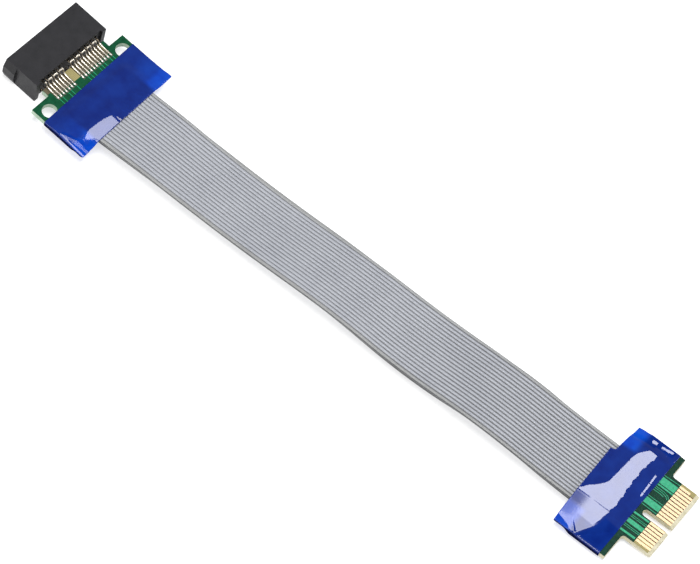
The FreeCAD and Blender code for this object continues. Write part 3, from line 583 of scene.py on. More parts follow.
def board_finish(name, mask, bare_areas, shaded_gaps, sawn, turn, centre):
    material, tree, shader = new_finish(name)
    local = new_node(tree, "ShaderNodeMapping", {
        "Vector": object_place(tree), "Location": centre, "Rotation": (0.0, 0.0, turn)},
        vector_type="TEXTURE")
    axes = axes_of(tree, local)
    normal = axes_of(tree, new_node(tree, "ShaderNodeNewGeometry").outputs["True Normal"])
    flat = maths(tree, "GREATER_THAN", maths(tree, "ABSOLUTE", normal["Z"]), FACE_UP)

    def inside(axis, low, high):
        """1 where the point lies between two measures along or across the board."""
        away = maths(tree, "SUBTRACT", axes[axis], (low + high) / 2 * MM)
        return maths(tree, "LESS_THAN", maths(tree, "ABSOLUTE", away), (high - low) / 2 * MM)

    bare = 0.0
    for span_x, span_y in bare_areas:
        area = maths(tree, "MULTIPLY", inside("X", *span_x), inside("Y", *span_y))
        bare = maths(tree, "MAXIMUM", bare, area)
    # spans across the board that get the painted shade between contacts
    shade_between_contacts = maths(tree, "MAXIMUM", *(inside("Y", *span) for span in shaded_gaps))
    patches = use_group(tree, mottle, scale=900.0, detail=3.0)
    weave = new_node(tree, "ShaderNodeTexWave", {"Vector": local, "Scale": 700.0, "Distortion": 1.5},
                     wave_type="BANDS", bands_direction="Y").outputs[1]
    fresh = blend(tree, weave, (0.28, 0.24, 0.09), (0.36, 0.31, 0.14))
    # painted shade: the bare laminate between the contacts is darkened as if the tails shadowed it
    gap_shade = blend(tree, patches, (0.085, 0.070, 0.040), (0.13, 0.105, 0.062))
    laminate = blend(tree, shade_between_contacts, fresh, gap_shade)
    surface = blend(tree, bare, blend(tree, patches, *mask), laminate)
    coat = maths(tree, "MULTIPLY", flat, maths(tree, "SUBTRACT", 1.0, bare))
    fibres = use_group(tree, grain, scale=4200.0)
    feed(tree, shader, {
        "Base Color": blend(tree, flat, blend(tree, patches, *sawn), surface),
        "Roughness": spread(tree, coat, 0.7, 0.14),
        "Specular IOR Level": 0.3,
        "Normal": relief(tree, fibres, 0.05, 0.03)})
    return material


BOARDS = {
    "socket_board": board_finish(
        "socket_mask", mask=((0.003, 0.052, 0.021), (0.006, 0.086, 0.035)),
        bare_areas=(((-9.0, FEET + 4.3), (-9.85, 9.8)), ((-9.0, 7.9), (-10.9, -9.8))),
        shaded_gaps=((-0.9, 9.15), (-10.9, -3.1)), sawn=((0.34, 0.46, 0.34), (0.50, 0.60, 0.48)),
        turn=0.0, centre=(0.0, 0.0, 0.0)),
    "plug_board": board_finish(
        "plug_mask", mask=((0.002, 0.026, 0.014), (0.004, 0.046, 0.025)),
        bare_areas=(((18.7, 40.0), (-30.0, 30.0)),),
        shaded_gaps=((-0.9, 9.15), (-8.0, -3.1)), sawn=((0.50, 0.46, 0.31), (0.66, 0.62, 0.46)),
        turn=SKEW, centre=plug_place(0, 0, 0)),
}
for name, finish in BOARDS.items():
    wear(nodes[name].data, finish)
    print(name, "wears", finish.name)

# %% [markdown]
# ## Blue film
# The tape is a thin blue film pulled round the board and the ribbons. It lies flat on the board in front,
# climbs over the solder onto the ribbons and sags where nothing holds it up behind the board. Its shape is a
# height over the board for every point, so one function per end describes it, and a fine grid follows that
# function round both faces. Where only film is left, light comes through and it looks brighter: that share is
# kept with each point. Film that is pressed down hard hardly shines, so there are two finishes that differ in
# shine alone, and each face of the mesh picks one.

# %% Film finishes
# the fold mark covers the film's rounded side walls, which the finish darkens with painted shade
FILM_MARKS = ("film_only", "haze", "fold")


def film_finish(name, shine):
    material, tree, shader = new_finish(name)
    thin, haze, fold = (attribute(tree, label) for label in FILM_MARKS)
    patches = use_group(tree, mottle, scale=260.0, detail=3.0)
    deep = blend(tree, patches, (0.003, 0.015, 0.15), (0.005, 0.026, 0.207))
    clear = blend(tree, patches, (0.003, 0.042, 0.39), (0.005, 0.068, 0.49))
    # painted shade: a near-black blue for the side walls, as if they lay in shadow
    side_wall_shade = blend(tree, patches, (0.003, 0.004, 0.028), (0.005, 0.007, 0.045))
    ripple = use_group(tree, mottle, scale=520.0, detail=1.0)
    feed(tree, shader, {
        "Base Color": blend(tree, fold, blend(tree, thin, deep, clear), side_wall_shade),
        "Roughness": spread(tree, haze, 0.04, 0.4),
        "Specular IOR Level": shine,
        "IOR": 1.5,
        "Normal": relief(tree, ripple, 0.12, 0.012)})
    return material


blue_film = film_finish("blue_film", 0.5)
stuck_film = film_finish("stuck_film", 0.0)
print("film finishes:", blue_film.name, stuck_film.name)


# %% Small helpers for shapes
def clamp(value):
    return min(1.0, max(0.0, value))


def ease(value, start, stop):
    """0 before start, 1 after stop, with a smooth rise between."""
    t = clamp((value - start) / (stop - start))
    return t * t * (3.0 - 2.0 * t)


def hump(value, start, stop, soft):
    """1 between start and stop, fading to 0 over a soft border inside each end."""
    return ease(value, start, start + soft) * (1.0 - ease(value, stop - soft, stop))


def along(table, value):
    """Straight lines through a short table of (place, amount) pairs."""
    for (a, low), (b, high) in zip(table, table[1:]):
        if value <= b:
            return low + (high - low) * clamp((value - a) / (b - a))
    return table[-1][1]


# %% Film sleeve from a height function
FILM = 0.12
FILM_STOCK = 0.06
BOARD_HALF = 0.8
BOARD_FILM = BOARD_HALF + FILM
RIBBON_RISE = 0.95
RIBBON_HALF = 10.1
LOWER_SHIFT = 1.0
FLAP_FROM = RIBBON_HALF + 0.1
BESIDE_FADE = (RIBBON_HALF - 0.2, RIBBON_HALF + 1.4)
SIDE_ROUND = ((0.11, 0.04), (0.19, 0.14), (0.24, 0.32), (0.25, 0.5), (0.24, 0.68), (0.19, 0.86), (0.11, 0.96))
# where the painted shade on the rounded side walls fades in
SIDE_SHADE_FADE = (0.04, 0.3)


def aside(side):
    """The lower ribbon lies a little to one side of the upper one."""
    return 0.0 if side > 0 else LOWER_SHIFT


def film_sleeve(name, place, front, back, sides, height, bare, hazy, stuck, steps, shorter=0.0):
    """A closed loop of film round board and ribbons; heights count from the board's middle plane."""
    low, high = sides
    rows, columns = steps
    lanes = [low + (high - low) * j / columns for j in range(columns + 1)]
    once_round = [(y, y, 0.0) for y in lanes]
    once_round += [(high + out, high, drop) for out, drop in SIDE_ROUND]
    once_round += [(y, y, 1.0) for y in reversed(lanes)]
    once_round += [(low - out, low, drop) for out, drop in reversed(SIDE_ROUND)]
    sleeve = bmesh.new()
    layers = [sleeve.verts.layers.float.new(label) for label in FILM_MARKS]
    dull = {}
    loops = []
    for i in range(rows + 1):
        loop = []
        for y, edge, drop in once_round:
            x = front(y) + (back(y) - shorter * drop - front(y)) * i / rows
            upper = height(x, edge, 1) * (1.0 - drop) if drop < 1.0 else 0.0
            lower = height(x, edge, -1) * drop if drop > 0.0 else 0.0
            # share of painted shade on the rounded side walls
            side_wall_shade = ease(drop, *SIDE_SHADE_FADE) if drop < 1.0 else 0.0
            vert = sleeve.verts.new(place(x, y, upper - lower))
            for layer, amount in zip(layers, (bare(x, y), hazy(x, y), side_wall_shade)):
                vert[layer] = amount
            dull[vert] = max(stuck(x, y), side_wall_shade)
            loop.append(vert)
        loops.append(loop)
    span_rows(sleeve, loops, closed=True)
    for face in sleeve.faces:
        face.material_index = int(sum(dull[vert] for vert in face.verts) > len(face.verts) / 2)
    piece = link_piece(name, shape_mesh(name, sleeve, True, blue_film, stuck_film))
    wall = piece.modifiers.new("film_stock", "SOLIDIFY")
    wall.thickness = FILM_STOCK * MM
    wall.offset = -1.0
    return piece


# %% [markdown]
# ## The socket's tape
# A long pale patch lies where this film falls gently behind the ribbon's crest. At the near corner a fold
# leaves a soft pale wedge, and the lip along the side catches one bright line. Each of them is a slope that
# starts at a line, so short tables hold the lines, and the height function adds up the slopes.

# %% Socket tape: outline and looks
SOCKET_SIDES = (-16.95, 15.85)
SOCKET_FRONT, SOCKET_LENGTH = 12.35, 13.5
SOCKET_SLANT, SOCKET_MIDDLE = 0.03, -0.55
SOCKET_REAR = 21.85
SOCKET_FOLD = ((17.9, -16.8), (20.0, -15.95), (21.2, -15.55), (22.6, -14.95), (25.9, -15.1))
SOCKET_HEM = ((17.5, -16.9), (20.5, -16.35), (23.3, -16.1), (25.4, -15.8))
FOLD_WIDTH, CREASE_WIDTH = 0.6, 0.9
WEDGE_FROM, CORNER_FROM, CORNER_TO = (17.6, 18.2), (24.5, 24.9), -12.6
LIP_FROM, LIP_SLOPE = -16.6, 0.25
SOCKET_RIBBON_SHIFT = -1.2
BRIGHT_FROM, BRIGHT_ON_BOARD = 14.0, 0.4


def socket_front(y):
    return SOCKET_FRONT - SOCKET_SLANT * (y - SOCKET_MIDDLE)


def socket_back(y):
    return socket_front(y) + SOCKET_LENGTH


def socket_bare(x, y):
    """Film with neither board nor ribbon under it, and a little of that beside the ribbon on the board."""
    past_board = ease(x, SOCKET_REAR - 0.8, SOCKET_REAR + 1.2)
    beside = ease(abs(y - SOCKET_RIBBON_SHIFT), *BESIDE_FADE)
    on_board = BRIGHT_ON_BOARD * ease(x, BRIGHT_FROM, SOCKET_REAR) * (1.0 - past_board)
    return (past_board + on_board) * beside


def socket_hazy(x, y):
    """The wedge by the near corner has a softer shine."""
    wedge = hump(y, along(SOCKET_HEM, x), along(SOCKET_FOLD, x) + FOLD_WIDTH, soft=0.1)
    return 0.5 * ease(x, *WEDGE_FROM) * wedge


def socket_stuck(x, y):
    """On both sides of the wedge the film is pulled down and shows no shine."""
    fold, hem = along(SOCKET_FOLD, x), along(SOCKET_HEM, x)
    crease = hump(y, fold, fold + CREASE_WIDTH, soft=0.15)
    seam = hump(y, LIP_FROM - 0.05, hem, soft=0.05)
    corner = ease(x, *CORNER_FROM) * hump(y, fold + 0.5, CORNER_TO, soft=0.2)
    return ease(x, *WEDGE_FROM) * max(crease, seam, corner)


print("socket film:", SOCKET_LENGTH, "mm long")


# %% Socket tape: heights
PALE_SLOPE = 0.08
SOCKET_CREST = ((-14.6, 26.0), (-14.0, 23.4), (-13.0, 22.6), (-10.9, 22.2), (-6.1, 22.4), (-3.9, 23.0),
                (-3.2, 23.9), (-2.9, 25.2), (-2.4, 27.0))
SOCKET_CLIMB = (12.9, 16.4)
# Each feature: how much, from where to where it grows along the board, its sides and their soft border.
RIBS, RIBS_FROM, RIBLESS = 0.03, (20.0, 25.5), (-15.0, -1.8, 1.5)
SWELL, SWELL_FROM, SWELL_SIDES = 0.33, (16.8, 21.9), (-16.4, -0.4, 2.4)
UNREST, UNREST_SCALE, UNREST_SEED = 0.015, 0.28, 4.0
BULGE, BULGE_FROM, BULGE_FADE = 0.34, (14.0, 17.4), (-15.4, -13.8)
HEM_SLOPE, HEM_DROP, HEM_FROM = 0.9, 0.04, (17.5, 20.0)
FAR_LIFT, FAR_FROM = 0.45, (16.0, 25.8)
FAR_FLAP, NEAR_FLAP = RIBBON_HALF + 3.6, RIBBON_HALF + 3.0
LOBE_RISE, LOBE_FALL, LOBE_IN, LOBE_OUT = (21.8, 23.2), (23.8, 25.8), 2.0, 0.8
CORNER_GAP, GAP_FADE = 0.8, (-16.9, -15.4)


def socket_on_ribbon(x, y, out, side):
    """How far the film over the ribbon stands off the board."""
    smooth_part = hump(y, *RIBLESS)
    rise = RIBBON_RISE + RIBS * math.cos(2 * math.pi * out) * ease(x, *RIBS_FROM) * (1.0 - smooth_part)
    if side > 0:
        swell = SWELL * ease(x, *SWELL_FROM) - PALE_SLOPE * max(0.0, x - along(SOCKET_CREST, y))
        unrest = UNREST * noise.noise(Vector((x * UNREST_SCALE, y * UNREST_SCALE, UNREST_SEED)))
        rise += max(0.0, swell) * hump(y, *SWELL_SIDES) + unrest
    return ease(x, *SOCKET_CLIMB) * rise


def socket_near_flap(x, y):
    """The film beside the ribbon on the near side, with its fold, hem and lip."""
    fold = along(SOCKET_FOLD, x)
    bulge = BULGE * ease(x, *BULGE_FROM) * (1.0 - ease(y, *BULGE_FADE))
    past_fold = PALE_SLOPE * max(0.0, x - SOCKET_FOLD[0][0]) * (1.0 - ease(y, fold, fold + FOLD_WIDTH))
    past_hem = min(HEM_SLOPE * max(0.0, along(SOCKET_HEM, x) - y), HEM_DROP) * ease(x, *HEM_FROM)
    return BOARD_FILM + bulge - past_fold - past_hem - LIP_SLOPE * max(0.0, LIP_FROM - y)


def socket_height(x, y, side):
    """The film's height on the upper (side 1) or lower (side -1) face."""
    out = y - (CABLE_EXIT[1] - (CABLE_EXIT[0] - x) * math.tan(SKEW) + aside(side))
    if out > 0:
        beside = ease(out, FLAP_FROM, FAR_FLAP)
        flap = BOARD_FILM + FAR_LIFT * ease(x, *FAR_FROM)
    else:
        lobe = ease(x, *LOBE_RISE) * (1.0 - ease(x, *LOBE_FALL))
        beside = ease(-out, FLAP_FROM + LOBE_IN * lobe, NEAR_FLAP + LOBE_OUT * lobe)
        flap = socket_near_flap(x, y)
    if side < 0:
        free = ease(x, SOCKET_REAR - 0.1, SOCKET_REAR + 2.2)
        gap = CORNER_GAP * free * (1.0 - ease(y, *GAP_FADE))
        flap = BOARD_FILM * (1.0 - free) - (flap - FILM) * free + gap
    return (BOARD_FILM + socket_on_ribbon(x, y, out, side)) * (1.0 - beside) + flap * beside


socket_film = film_sleeve("socket_film", slot_place, socket_front, socket_back, SOCKET_SIDES, socket_height,
                          socket_bare, socket_hazy, socket_stuck, steps=(60, 220), shorter=1.2)
dress(socket_film, "blue_film", "socket_tape")

# %% [markdown]
# ## The plug's tape
# This film stays level over the ribbon, tips into one wide pale slope and then falls to the board. Two lines
# bound that slope: a crest where it starts and a brow where the fall starts. A crease, a pleat and three
# small glints lie on top. The glints are gentle slopes too, trimmed to size by the finish that hardly shines.

# %% Plug tape: outline and looks
PLUG_SIDES = (-18.5, 16.5)
PLUG_LENGTH = 14.0
PLUG_REAR = 5.1
PLUG_EDGE = ((-18.5, 0.15), (6.05, -0.45), (6.35, 0.8), (16.5, 1.55))
PLUG_CREASE = ((0.0, -8.6), (9.4, -8.1))
PLUG_DASH = ((9.0, 15.25), (12.2, 15.75))
PLUG_BROW = ((-18.5, 6.2), (-16.5, 7.2), (-14.0, 8.6), (-11.9, 9.1), (-8.2, 9.5), (-6.8, 9.75), (-5.0, 9.7),
             (-2.3, 9.55), (0.3, 9.25), (5.2, 9.1), (7.0, 9.05), (9.0, 9.45), (10.8, 9.7))
BROW_WAVES, CALM_FROM = ((0.14, 1.9, 0.0), (0.08, 4.3, 1.0)), (8.0, 12.0)  # height, pace, start
DRAWN_IN, DRAWN_SIDE = 0.7, (5.0, 16.5)
HAZE_SIDE, HAZE_END = (-17.5, -15.1), (1.0, 5.2)
DOT_X, DOT_Y = (6.4, 7.7), (14.75, 15.6)
DASH_X, DASH_HALF = (9.1, 12.2), 0.3
FRONT_SIDES, STUCK_SIDE, STUCK_END = (-18.4, -10.0, 0.5), (13.3, 15.2, 0.4), (7.4, 8.2)
RIM_X, RIM_Y = (5.0, 12.8, 0.2), (14.3, 16.7, 0.2)


def plug_front(y):
    return along(PLUG_EDGE, y)


def plug_back(y):
    return PLUG_LENGTH


def plug_drawn_in(x, y, z):
    """The corner beside the step was pulled in a little as the film was wrapped."""
    return plug_place(x, y - DRAWN_IN * ease(y, *DRAWN_SIDE) * clamp((5.5 - x) / 4.1), z)


def plug_brow(y):
    """Where the film starts to fall from the ribbon towards the board."""
    uneven = sum(size * math.sin(pace * y + start) for size, pace, start in BROW_WAVES)
    return along(PLUG_BROW, y) + uneven * (1.0 - ease(-y, *CALM_FROM))


def plug_hazy(x, y):
    """A softer shine between the crease and the near corner."""
    crease = along(PLUG_CREASE, x)
    return ease(y, *HAZE_SIDE) * (1.0 - ease(y, crease - 1.0, crease)) * (1.0 - ease(x, *HAZE_END))


def plug_bare(x, y):
    past_board = 1.0 - ease(x, PLUG_REAR - 1.4, PLUG_REAR + 0.6)
    beside = ease(abs(y - PLUG_RIBBON_SHIFT), *BESIDE_FADE)
    return past_board * beside * (1.0 - 0.35 * plug_hazy(x, y))


def plug_stuck(x, y):
    """Where the film is stuck down flat; by the far side only a dot and a dash are left shiny."""
    dot = DOT_X[0] < x < DOT_X[1] and DOT_Y[0] < y < DOT_Y[1]
    dash = DASH_X[0] < x < DASH_X[1] and abs(y - along(PLUG_DASH, x)) < DASH_HALF
    brow = plug_brow(y)
    front = ease(x, brow + 0.3, brow + 0.8) * hump(y, *FRONT_SIDES)
    side = hump(y, *STUCK_SIDE) * (1.0 - ease(x, *STUCK_END))
    rim = hump(y, *RIM_Y) * hump(x, *RIM_X)
    return max(front, 0.0 if dot or dash else max(side, rim))


print("plug film:", PLUG_LENGTH, "mm long")


# %% Plug tape: heights
PLUG_CREST = ((-8.1, -0.2), (-7.7, 0.5), (-6.2, 1.3), (-4.75, 2.7), (-3.1, 3.95), (-1.85, 4.55), (2.4, 4.86),
              (7.3, 5.1), (9.4, 5.6), (11.8, 7.25), (13.0, 8.4))
PLUG_RISE = ((-18.5, 0.28), (-11.9, 1.08), (-8.0, 1.0), (12.1, 1.0), (12.5, 0.94), (14.5, 0.06), (14.9, 0.0))
PLUG_FALL = 5.2
STEEP_FALL, STEEP_FROM, SHORTEST_FALL = 0.31, (10.5, 13.5), 0.3
PLEAT_FOOT, PLEAT_TIP, PLEAT_HALF, PLEAT_SLOPE = (5.85, -18.2), (3.05, -15.4), 0.6, 0.3
PLUG_GLINT, GLINT_SIDES, GLINT_HALF = ((0.3, 12.9), (8.0, 12.5)), (0.3, 8.0, 0.3), 0.35
CREASE_DEPTH, CREASE_END, CREASE_HALF = (0.04, 0.05), (1.0, 4.5), 0.2
CORNER_SLOPE, CORNER_END = 0.35, (3.6, 4.6)
DASH_RISE, DASH_END, DASH_REACH = (8.3, 8.9), 12.4, 0.75
DOT_RISE, DOT_END, DOT_SIDES = (5.7, 6.2), 8.0, (14.4, 16.0, 0.3)
LOWER_FLAP = RIBBON_HALF + 3.4


def plug_slopes(x, y):
    """Level film, a pale slope, then a steeper fall to the board."""
    rise = along(PLUG_RISE, y)
    brow = plug_brow(y)
    if x <= brow:
        edge = min(1.0, rise) if y > 0.0 else 1.0
        return rise + PALE_SLOPE * (brow - max(x, along(PLUG_CREST, y))) * edge
    steep = ease(-y, *STEEP_FROM)
    gentle_reach = PLUG_FALL * min(1.0, rise)
    reach = max(SHORTEST_FALL, gentle_reach + (rise / STEEP_FALL - gentle_reach) * steep)
    gone = min(1.0, (x - brow) / reach)
    start = 1.0 - 0.6 * steep
    return rise * (1.0 - start * gone - (1.0 - start) * gone * gone)


def plug_upper(x, y):
    """How far the upper film stands off the board."""
    depth = CREASE_DEPTH[0] + CREASE_DEPTH[1] * (1.0 - ease(x, *CREASE_END))
    crease = depth * math.exp(-((y - along(PLUG_CREASE, x)) / CREASE_HALF) ** 2)
    past_corner = max(0.0, -16.75 - 0.25 * (x + 0.4) - y)
    corner = CORNER_SLOPE * past_corner * (1.0 - ease(x, *CORNER_END))
    lift = plug_slopes(x, y) - crease - corner
    up = (y - PLEAT_FOOT[1]) / (PLEAT_TIP[1] - PLEAT_FOOT[1])
    if 0.0 < up < 1.0:
        away = abs(x - PLEAT_FOOT[0] - (PLEAT_TIP[0] - PLEAT_FOOT[0]) * up)
        lift += PLEAT_SLOPE * max(0.0, PLEAT_HALF * (1.0 - up) - away)
    ridge = max(0.0, 2 * GLINT_HALF - abs(x - along(PLUG_GLINT, y) - GLINT_HALF))
    glint = (1.0 / PLUG_FALL - PALE_SLOPE) * ridge * hump(y, *GLINT_SIDES)
    lane = along(PLUG_DASH, x)
    dash_sides = hump(y, lane - DASH_REACH, lane + DASH_REACH, soft=0.3)
    dash = max(0.0, DASH_END - x) * ease(x, *DASH_RISE) * dash_sides
    dot = max(0.0, DOT_END - x) * ease(x, *DOT_RISE) * hump(y, *DOT_SIDES)
    return lift + glint + PALE_SLOPE * dash + PALE_SLOPE * dot


def plug_height(x, y, side):
    """The film's height on the upper (side 1) or lower (side -1) face."""
    out = y - (PLUG_RIBBON_SHIFT + aside(side))
    over_ribbon = hump(out, -RIBBON_HALF, RIBBON_HALF, soft=0.5)
    ribs = 0.02 * math.cos(2 * math.pi * out) * (1.0 - ease(x, 0.3, 3.0)) * over_ribbon
    if side > 0:
        return BOARD_FILM + plug_upper(x, y) + ribs * ease(y, -4.5, -2.5)
    down = clamp((14.7 - x) / 5.6)
    beside = ease(abs(out), FLAP_FROM, LOWER_FLAP)
    free = 1.0 - ease(x, PLUG_REAR - 2.2, PLUG_REAR + 0.1)
    closed = BOARD_FILM - (2 * BOARD_FILM - FILM - 0.5 * ease(-y, 16.0, 18.5)) * free
    return (BOARD_FILM + (RIBBON_RISE + ribs) * down) * (1.0 - beside) + closed * beside


plug_film = film_sleeve("plug_film", plug_drawn_in, plug_front, plug_back, PLUG_SIDES, plug_height,
                        plug_bare, plug_hazy, plug_stuck, steps=(80, 150))
dress(plug_film, "blue_film", "plug_tape")

# %% [markdown]
# ## Grey ribbons
# A ribbon is a row of insulated wires moulded side by side, so its section is a row of round ridges. The
# route is a smooth line steered by a few points, much as in the solid strip, and a node tree draws the ridged
# section and carries it along that line. The mesh keeps the depth of the grooves, which the finish darkens
# with painted shade that spreads wider towards the plug, and marks the outermost wires, which get a warmer
# grey darkened with painted shade.

# %% Ribbon finish
WIDE_SHADE_FROM, WIDE_SHADE_TO = 0.085, 0.155  # metres along X over which the painted groove shade spreads wider
ribbon_grey, tree, shader = new_finish("ribbon_grey")
groove, rim = attribute(tree, "groove"), attribute(tree, "rim")
patches = use_group(tree, mottle, scale=140.0, detail=4.0)
middle = blend(tree, patches, (0.327, 0.339, 0.371), (0.374, 0.387, 0.417))
# painted shade: the outermost wires are darker, as they fall away from the light, and warmer
outer_wire_shade = blend(tree, patches, (0.265, 0.268, 0.262), (0.305, 0.308, 0.30))
# painted shade in the grooves, spreading wider up their sides towards the plug
groove_shade = blend(tree, patches, (0.055, 0.056, 0.06), (0.08, 0.081, 0.086))
x, y, z = axes_of(tree, object_place(tree))
wide_shade_share = spread(tree, x, 0.0, 1.0, WIDE_SHADE_FROM, WIDE_SHADE_TO)
narrow_shade_share = maths(tree, "SUBTRACT", 1.0, wide_shade_share)
narrow = maths(tree, "MULTIPLY", spread(tree, groove, 0.0, 1.0, 0.15, 0.85), narrow_shade_share)
wide = maths(tree, "MULTIPLY", spread(tree, groove, 0.0, 1.0, 0.04, 0.52), wide_shade_share)
grime = use_group(tree, grain, scale=2600.0)
feed(tree, shader, {
    "Base Color": blend(tree, maths(tree, "ADD", narrow, wide), blend(tree, rim, middle, outer_wire_shade), groove_shade),
    "Roughness": spread(tree, patches, 0.42, 0.55),
    "Normal": relief(tree, grime, 0.08, 0.03)})
print("finish:", ribbon_grey.name)

# %% Node tree: a ridged section along a line
WIRES = 20
RIDGE_POINTS = 6
ridged, asks, gives = new_tree("ridged_ribbon", "GeometryNodeTree", [
    GEOMETRY, ("Width", "Float", 0.0202), ("Stock", "Float", 0.0009), ("Wires", "Int", WIRES),
    ("Groove", "Float", 0.36), MATERIAL], [GEOMETRY])


def calc(operation, *sources):
    return maths(ridged, operation, *sources)


loop = new_node(ridged, "GeometryNodeCurvePrimitiveCircle", {"Resolution": WIRES * 2 * RIDGE_POINTS})
where = new_node(ridged, "GeometryNodeSplineParameter").outputs["Factor"]
facing_up = calc("SUBTRACT", calc("MULTIPLY", calc("LESS_THAN", where, 0.4999), 2.0), 1.0)
share = calc("FRACT", calc("ADD", calc("MULTIPLY", where, 2.0), 0.00001))
from_middle = calc("SUBTRACT", share, 0.5)
across = calc("MULTIPLY", facing_up, calc("MULTIPLY", asks["Width"], from_middle))
phase = calc("FRACT", calc("MULTIPLY", share, asks["Wires"]))
offset = calc("SUBTRACT", calc("MULTIPLY", phase, 2.0), 1.0)
arch = calc("SQRT", calc("MAXIMUM", 0.0, calc("SUBTRACT", 1.0, calc("MULTIPLY", offset, offset))))
depth = calc("SUBTRACT", 1.0, arch)
crown = calc("SUBTRACT", 1.0, calc("MULTIPLY", asks["Groove"], depth))
half_up = calc("MULTIPLY", calc("MULTIPLY", asks["Stock"], 0.5), crown)
from_edge = calc("MULTIPLY", asks["Wires"], calc("SUBTRACT", 0.5, calc("ABSOLUTE", from_middle)))
# the groove and rim marks carry the painted shade of the grooves and the outer wires
marked = loop
for label, amount in (("groove", depth), ("rim", spread(ridged, from_edge, 1.0, 0.0, 0.5, 1.4))):
    marked = new_node(ridged, "GeometryNodeStoreNamedAttribute", {
        "Geometry": marked, "Name": label, "Value": amount}, data_type="FLOAT", domain="POINT")
corner = new_node(ridged, "ShaderNodeCombineXYZ", {
    "X": across, "Y": calc("MULTIPLY", facing_up, half_up)})
shaped = new_node(ridged, "GeometryNodeSetPosition", {"Geometry": marked, "Position": corner})
level = new_node(ridged, "GeometryNodeSetCurveNormal", {"Curve": asks["Geometry"]}, mode="Z_UP")
carried = new_node(ridged, "GeometryNodeCurveToMesh", {
    "Curve": level, "Profile Curve": shaped, "Fill Caps": True})
finish_tree(ridged, asks, gives, carried)
print("node tree:", ridged.name)

# %% Both ribbons
SOCKET_BOND, PLUG_BOND, BEND_LEAD = 8.5, 9.1, 0.88
RIBBON_STOCK, RIBBON_WIDTH, GROOVE_DEPTH = 0.9, 20.2, 0.42
PAD_STOCK = 0.05
ROUTES = {  # share of the free span, height in ribbon thicknesses
    "upper": ((0.157, 4.17), (0.3, 3.39), (0.49, 5.11), (0.64, 3.33), (0.8, 5.44)),
    "lower": ((0.157, 2.56), (0.3, 2.06), (0.47, 3.22), (0.655, 0.05), (0.82, 4.1)),
}
ROLL = (0.0, 0.0, -0.06, -0.08, -0.07, 0.0, -0.02, -0.02, 0.0)


def route_points(side, shares):
    lift = BOARD_HALF + PAD_STOCK + RIBBON_STOCK / 2
    start, end = SLOT_LEVEL + side * lift, PLUG_LEVEL + side * lift
    line = [(-SOCKET_BOND, start), (BEND_LEAD * SOCKET_BOND, start)]
    line += [(share * FREE_SPAN, height * RIBBON_STOCK) for share, height in shares]
    line += [(FREE_SPAN - BEND_LEAD * PLUG_BOND, end), (FREE_SPAN + PLUG_BOND, end)]
    return [ribbon_place(u, aside(side), z) for u, z in line]


for face, side in FACES.items():
    points = route_points(side, ROUTES[face])
    guide = smooth_curve("route", points, 10)
    for point, roll in zip(guide.data.splines[0].points, ROLL):
        point.tilt = roll
    followed = [v.co.copy() for v in bpy.data.meshes.new_from_object(guide).vertices]
    mesh = grown(guide, ridged, Width=RIBBON_WIDTH * MM, Stock=RIBBON_STOCK * MM, Wires=WIRES,
                 Groove=GROOVE_DEPTH, Material=ribbon_grey)
    mesh.shade_smooth()
    piece = link_piece(f"{face}_ribbon_cable", mesh, ribbon_grey)
    dress(piece, "ribbon_grey", f"{face}_ribbon")

# %% [markdown]
# ## Copper under the mask
# On the plug's tongue, wide copper areas and thin tracks show through the mask as lighter green, each a few
# hundredths of a millimetre proud. Flat strips with a paler green finish show them from every side.

# %% Copper finish and strips
COPPER = 0.035
copper_green = mottled_finish("copper_under_mask", 1400.0, 3.0, (0.008, 0.29, 0.13), (0.020, 0.38, 0.19),
                              (0.22, 0.32), {"Specular IOR Level": 0.3})
print("finish:", copper_green.name)


def flat_strips(name, place, strips):
    """Thin raised strips on a board's upper face: each is a list of centre points and a width."""
    sheet = bmesh.new()
    for points, width in strips:
        rings = []
        for k, (x, y) in enumerate(points):
            before, after = points[max(0, k - 1)], points[min(len(points) - 1, k + 1)]
            dx, dy = after[0] - before[0], after[1] - before[1]
            size = math.hypot(dx, dy)
            nx, ny = -dy / size * width / 2, dx / size * width / 2
            ring = ((1, COPPER), (-1, COPPER), (-1, 0.0), (1, 0.0))
            rings.append([sheet.verts.new(place(x + way * nx, y + way * ny, BOARD_HALF + up))
                          for way, up in ring])
        span_rows(sheet, rings, closed=True)
        sheet.faces.new(rings[0])
        sheet.faces.new(reversed(rings[-1]))
    return link_piece(name, shape_mesh(name, sheet, False, copper_green))


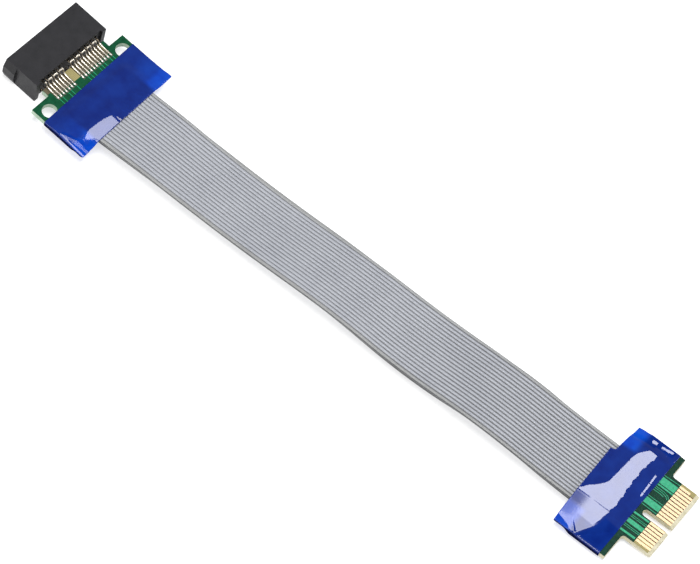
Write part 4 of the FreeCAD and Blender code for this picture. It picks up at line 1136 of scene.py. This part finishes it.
# %% Tracks on both boards
UNDER_FILM = 13.6
THIN = 0.14
PLUG_COPPER = (  # width, start across the board under the film, then the points it runs through
    (2.0, 8.0, (18.55, 8.0)),
    (1.8, 1.05, (18.55, 1.05)),
    (0.42, 6.5, (18.7, 6.5)),
    (0.16, 9.5, (18.7, 9.75)),
    (THIN, 5.7, (16.6, 5.7), (18.0, 5.35), (18.7, 4.5)),
    (THIN, 5.2, (16.4, 5.2), (17.6, 4.95), (18.3, 4.3)),
    (THIN, 4.6, (16.2, 4.6), (17.2, 4.45)),
    (THIN, 2.45, (18.6, 2.5)),
    (0.16, -0.45, (18.7, -0.5)),
    (0.5, -3.7, (18.5, -3.55)),
    (THIN, -4.7, (18.6, -4.62)),
    (THIN, -5.15, (18.6, -5.1)),
    (1.2, -6.4, (18.7, -6.4)),
    (THIN, -7.7, (18.7, -7.65)),
    (THIN, -8.2, (18.7, -8.1)),
    (0.6, -9.6, (18.4, -9.5)),
)
plug_copper = [([(UNDER_FILM, y), *rest], width) for width, y, *rest in PLUG_COPPER]
dress(flat_strips("plug_tracks", plug_place, plug_copper), "plug_mask")

TRACK_FROM, TRACK_TO = 10.8, 12.7
UNUSED = ((4, 2), (3, 1))  # one contact in so many has no track, counted on from this one
socket_copper = [([(TRACK_FROM, first - k), (TRACK_TO, first - k)], THIN)
                 for (first, count), (every, skipped) in zip(GROUPS, UNUSED)
                 for k in range(count) if k % every != skipped]
dress(flat_strips("socket_tracks", slot_place, socket_copper), "socket_mask")

# %% [markdown]
# ## What stays as it is
# Pads, fingers, hidden conductors and their solder already have their true shape, so they only need a finish.

# %% Finishes for the solid nodes that stay
PLAIN = {"finger_gold": gold, "contact_metal": tinned, "solder": solder}
TINNED_PADS = ("socket_upper_pads", "socket_lower_pads")
finished = []
for part in frame["record"]["subparts"]:
    if part["material_slot"] in PLAIN:
        metal = dull_tin if part["node"] in TINNED_PADS else PLAIN[part["material_slot"]]
        wear(nodes[part["node"]].data, metal)
        finished.append(part["node"])
print("finished nodes:", len(finished))
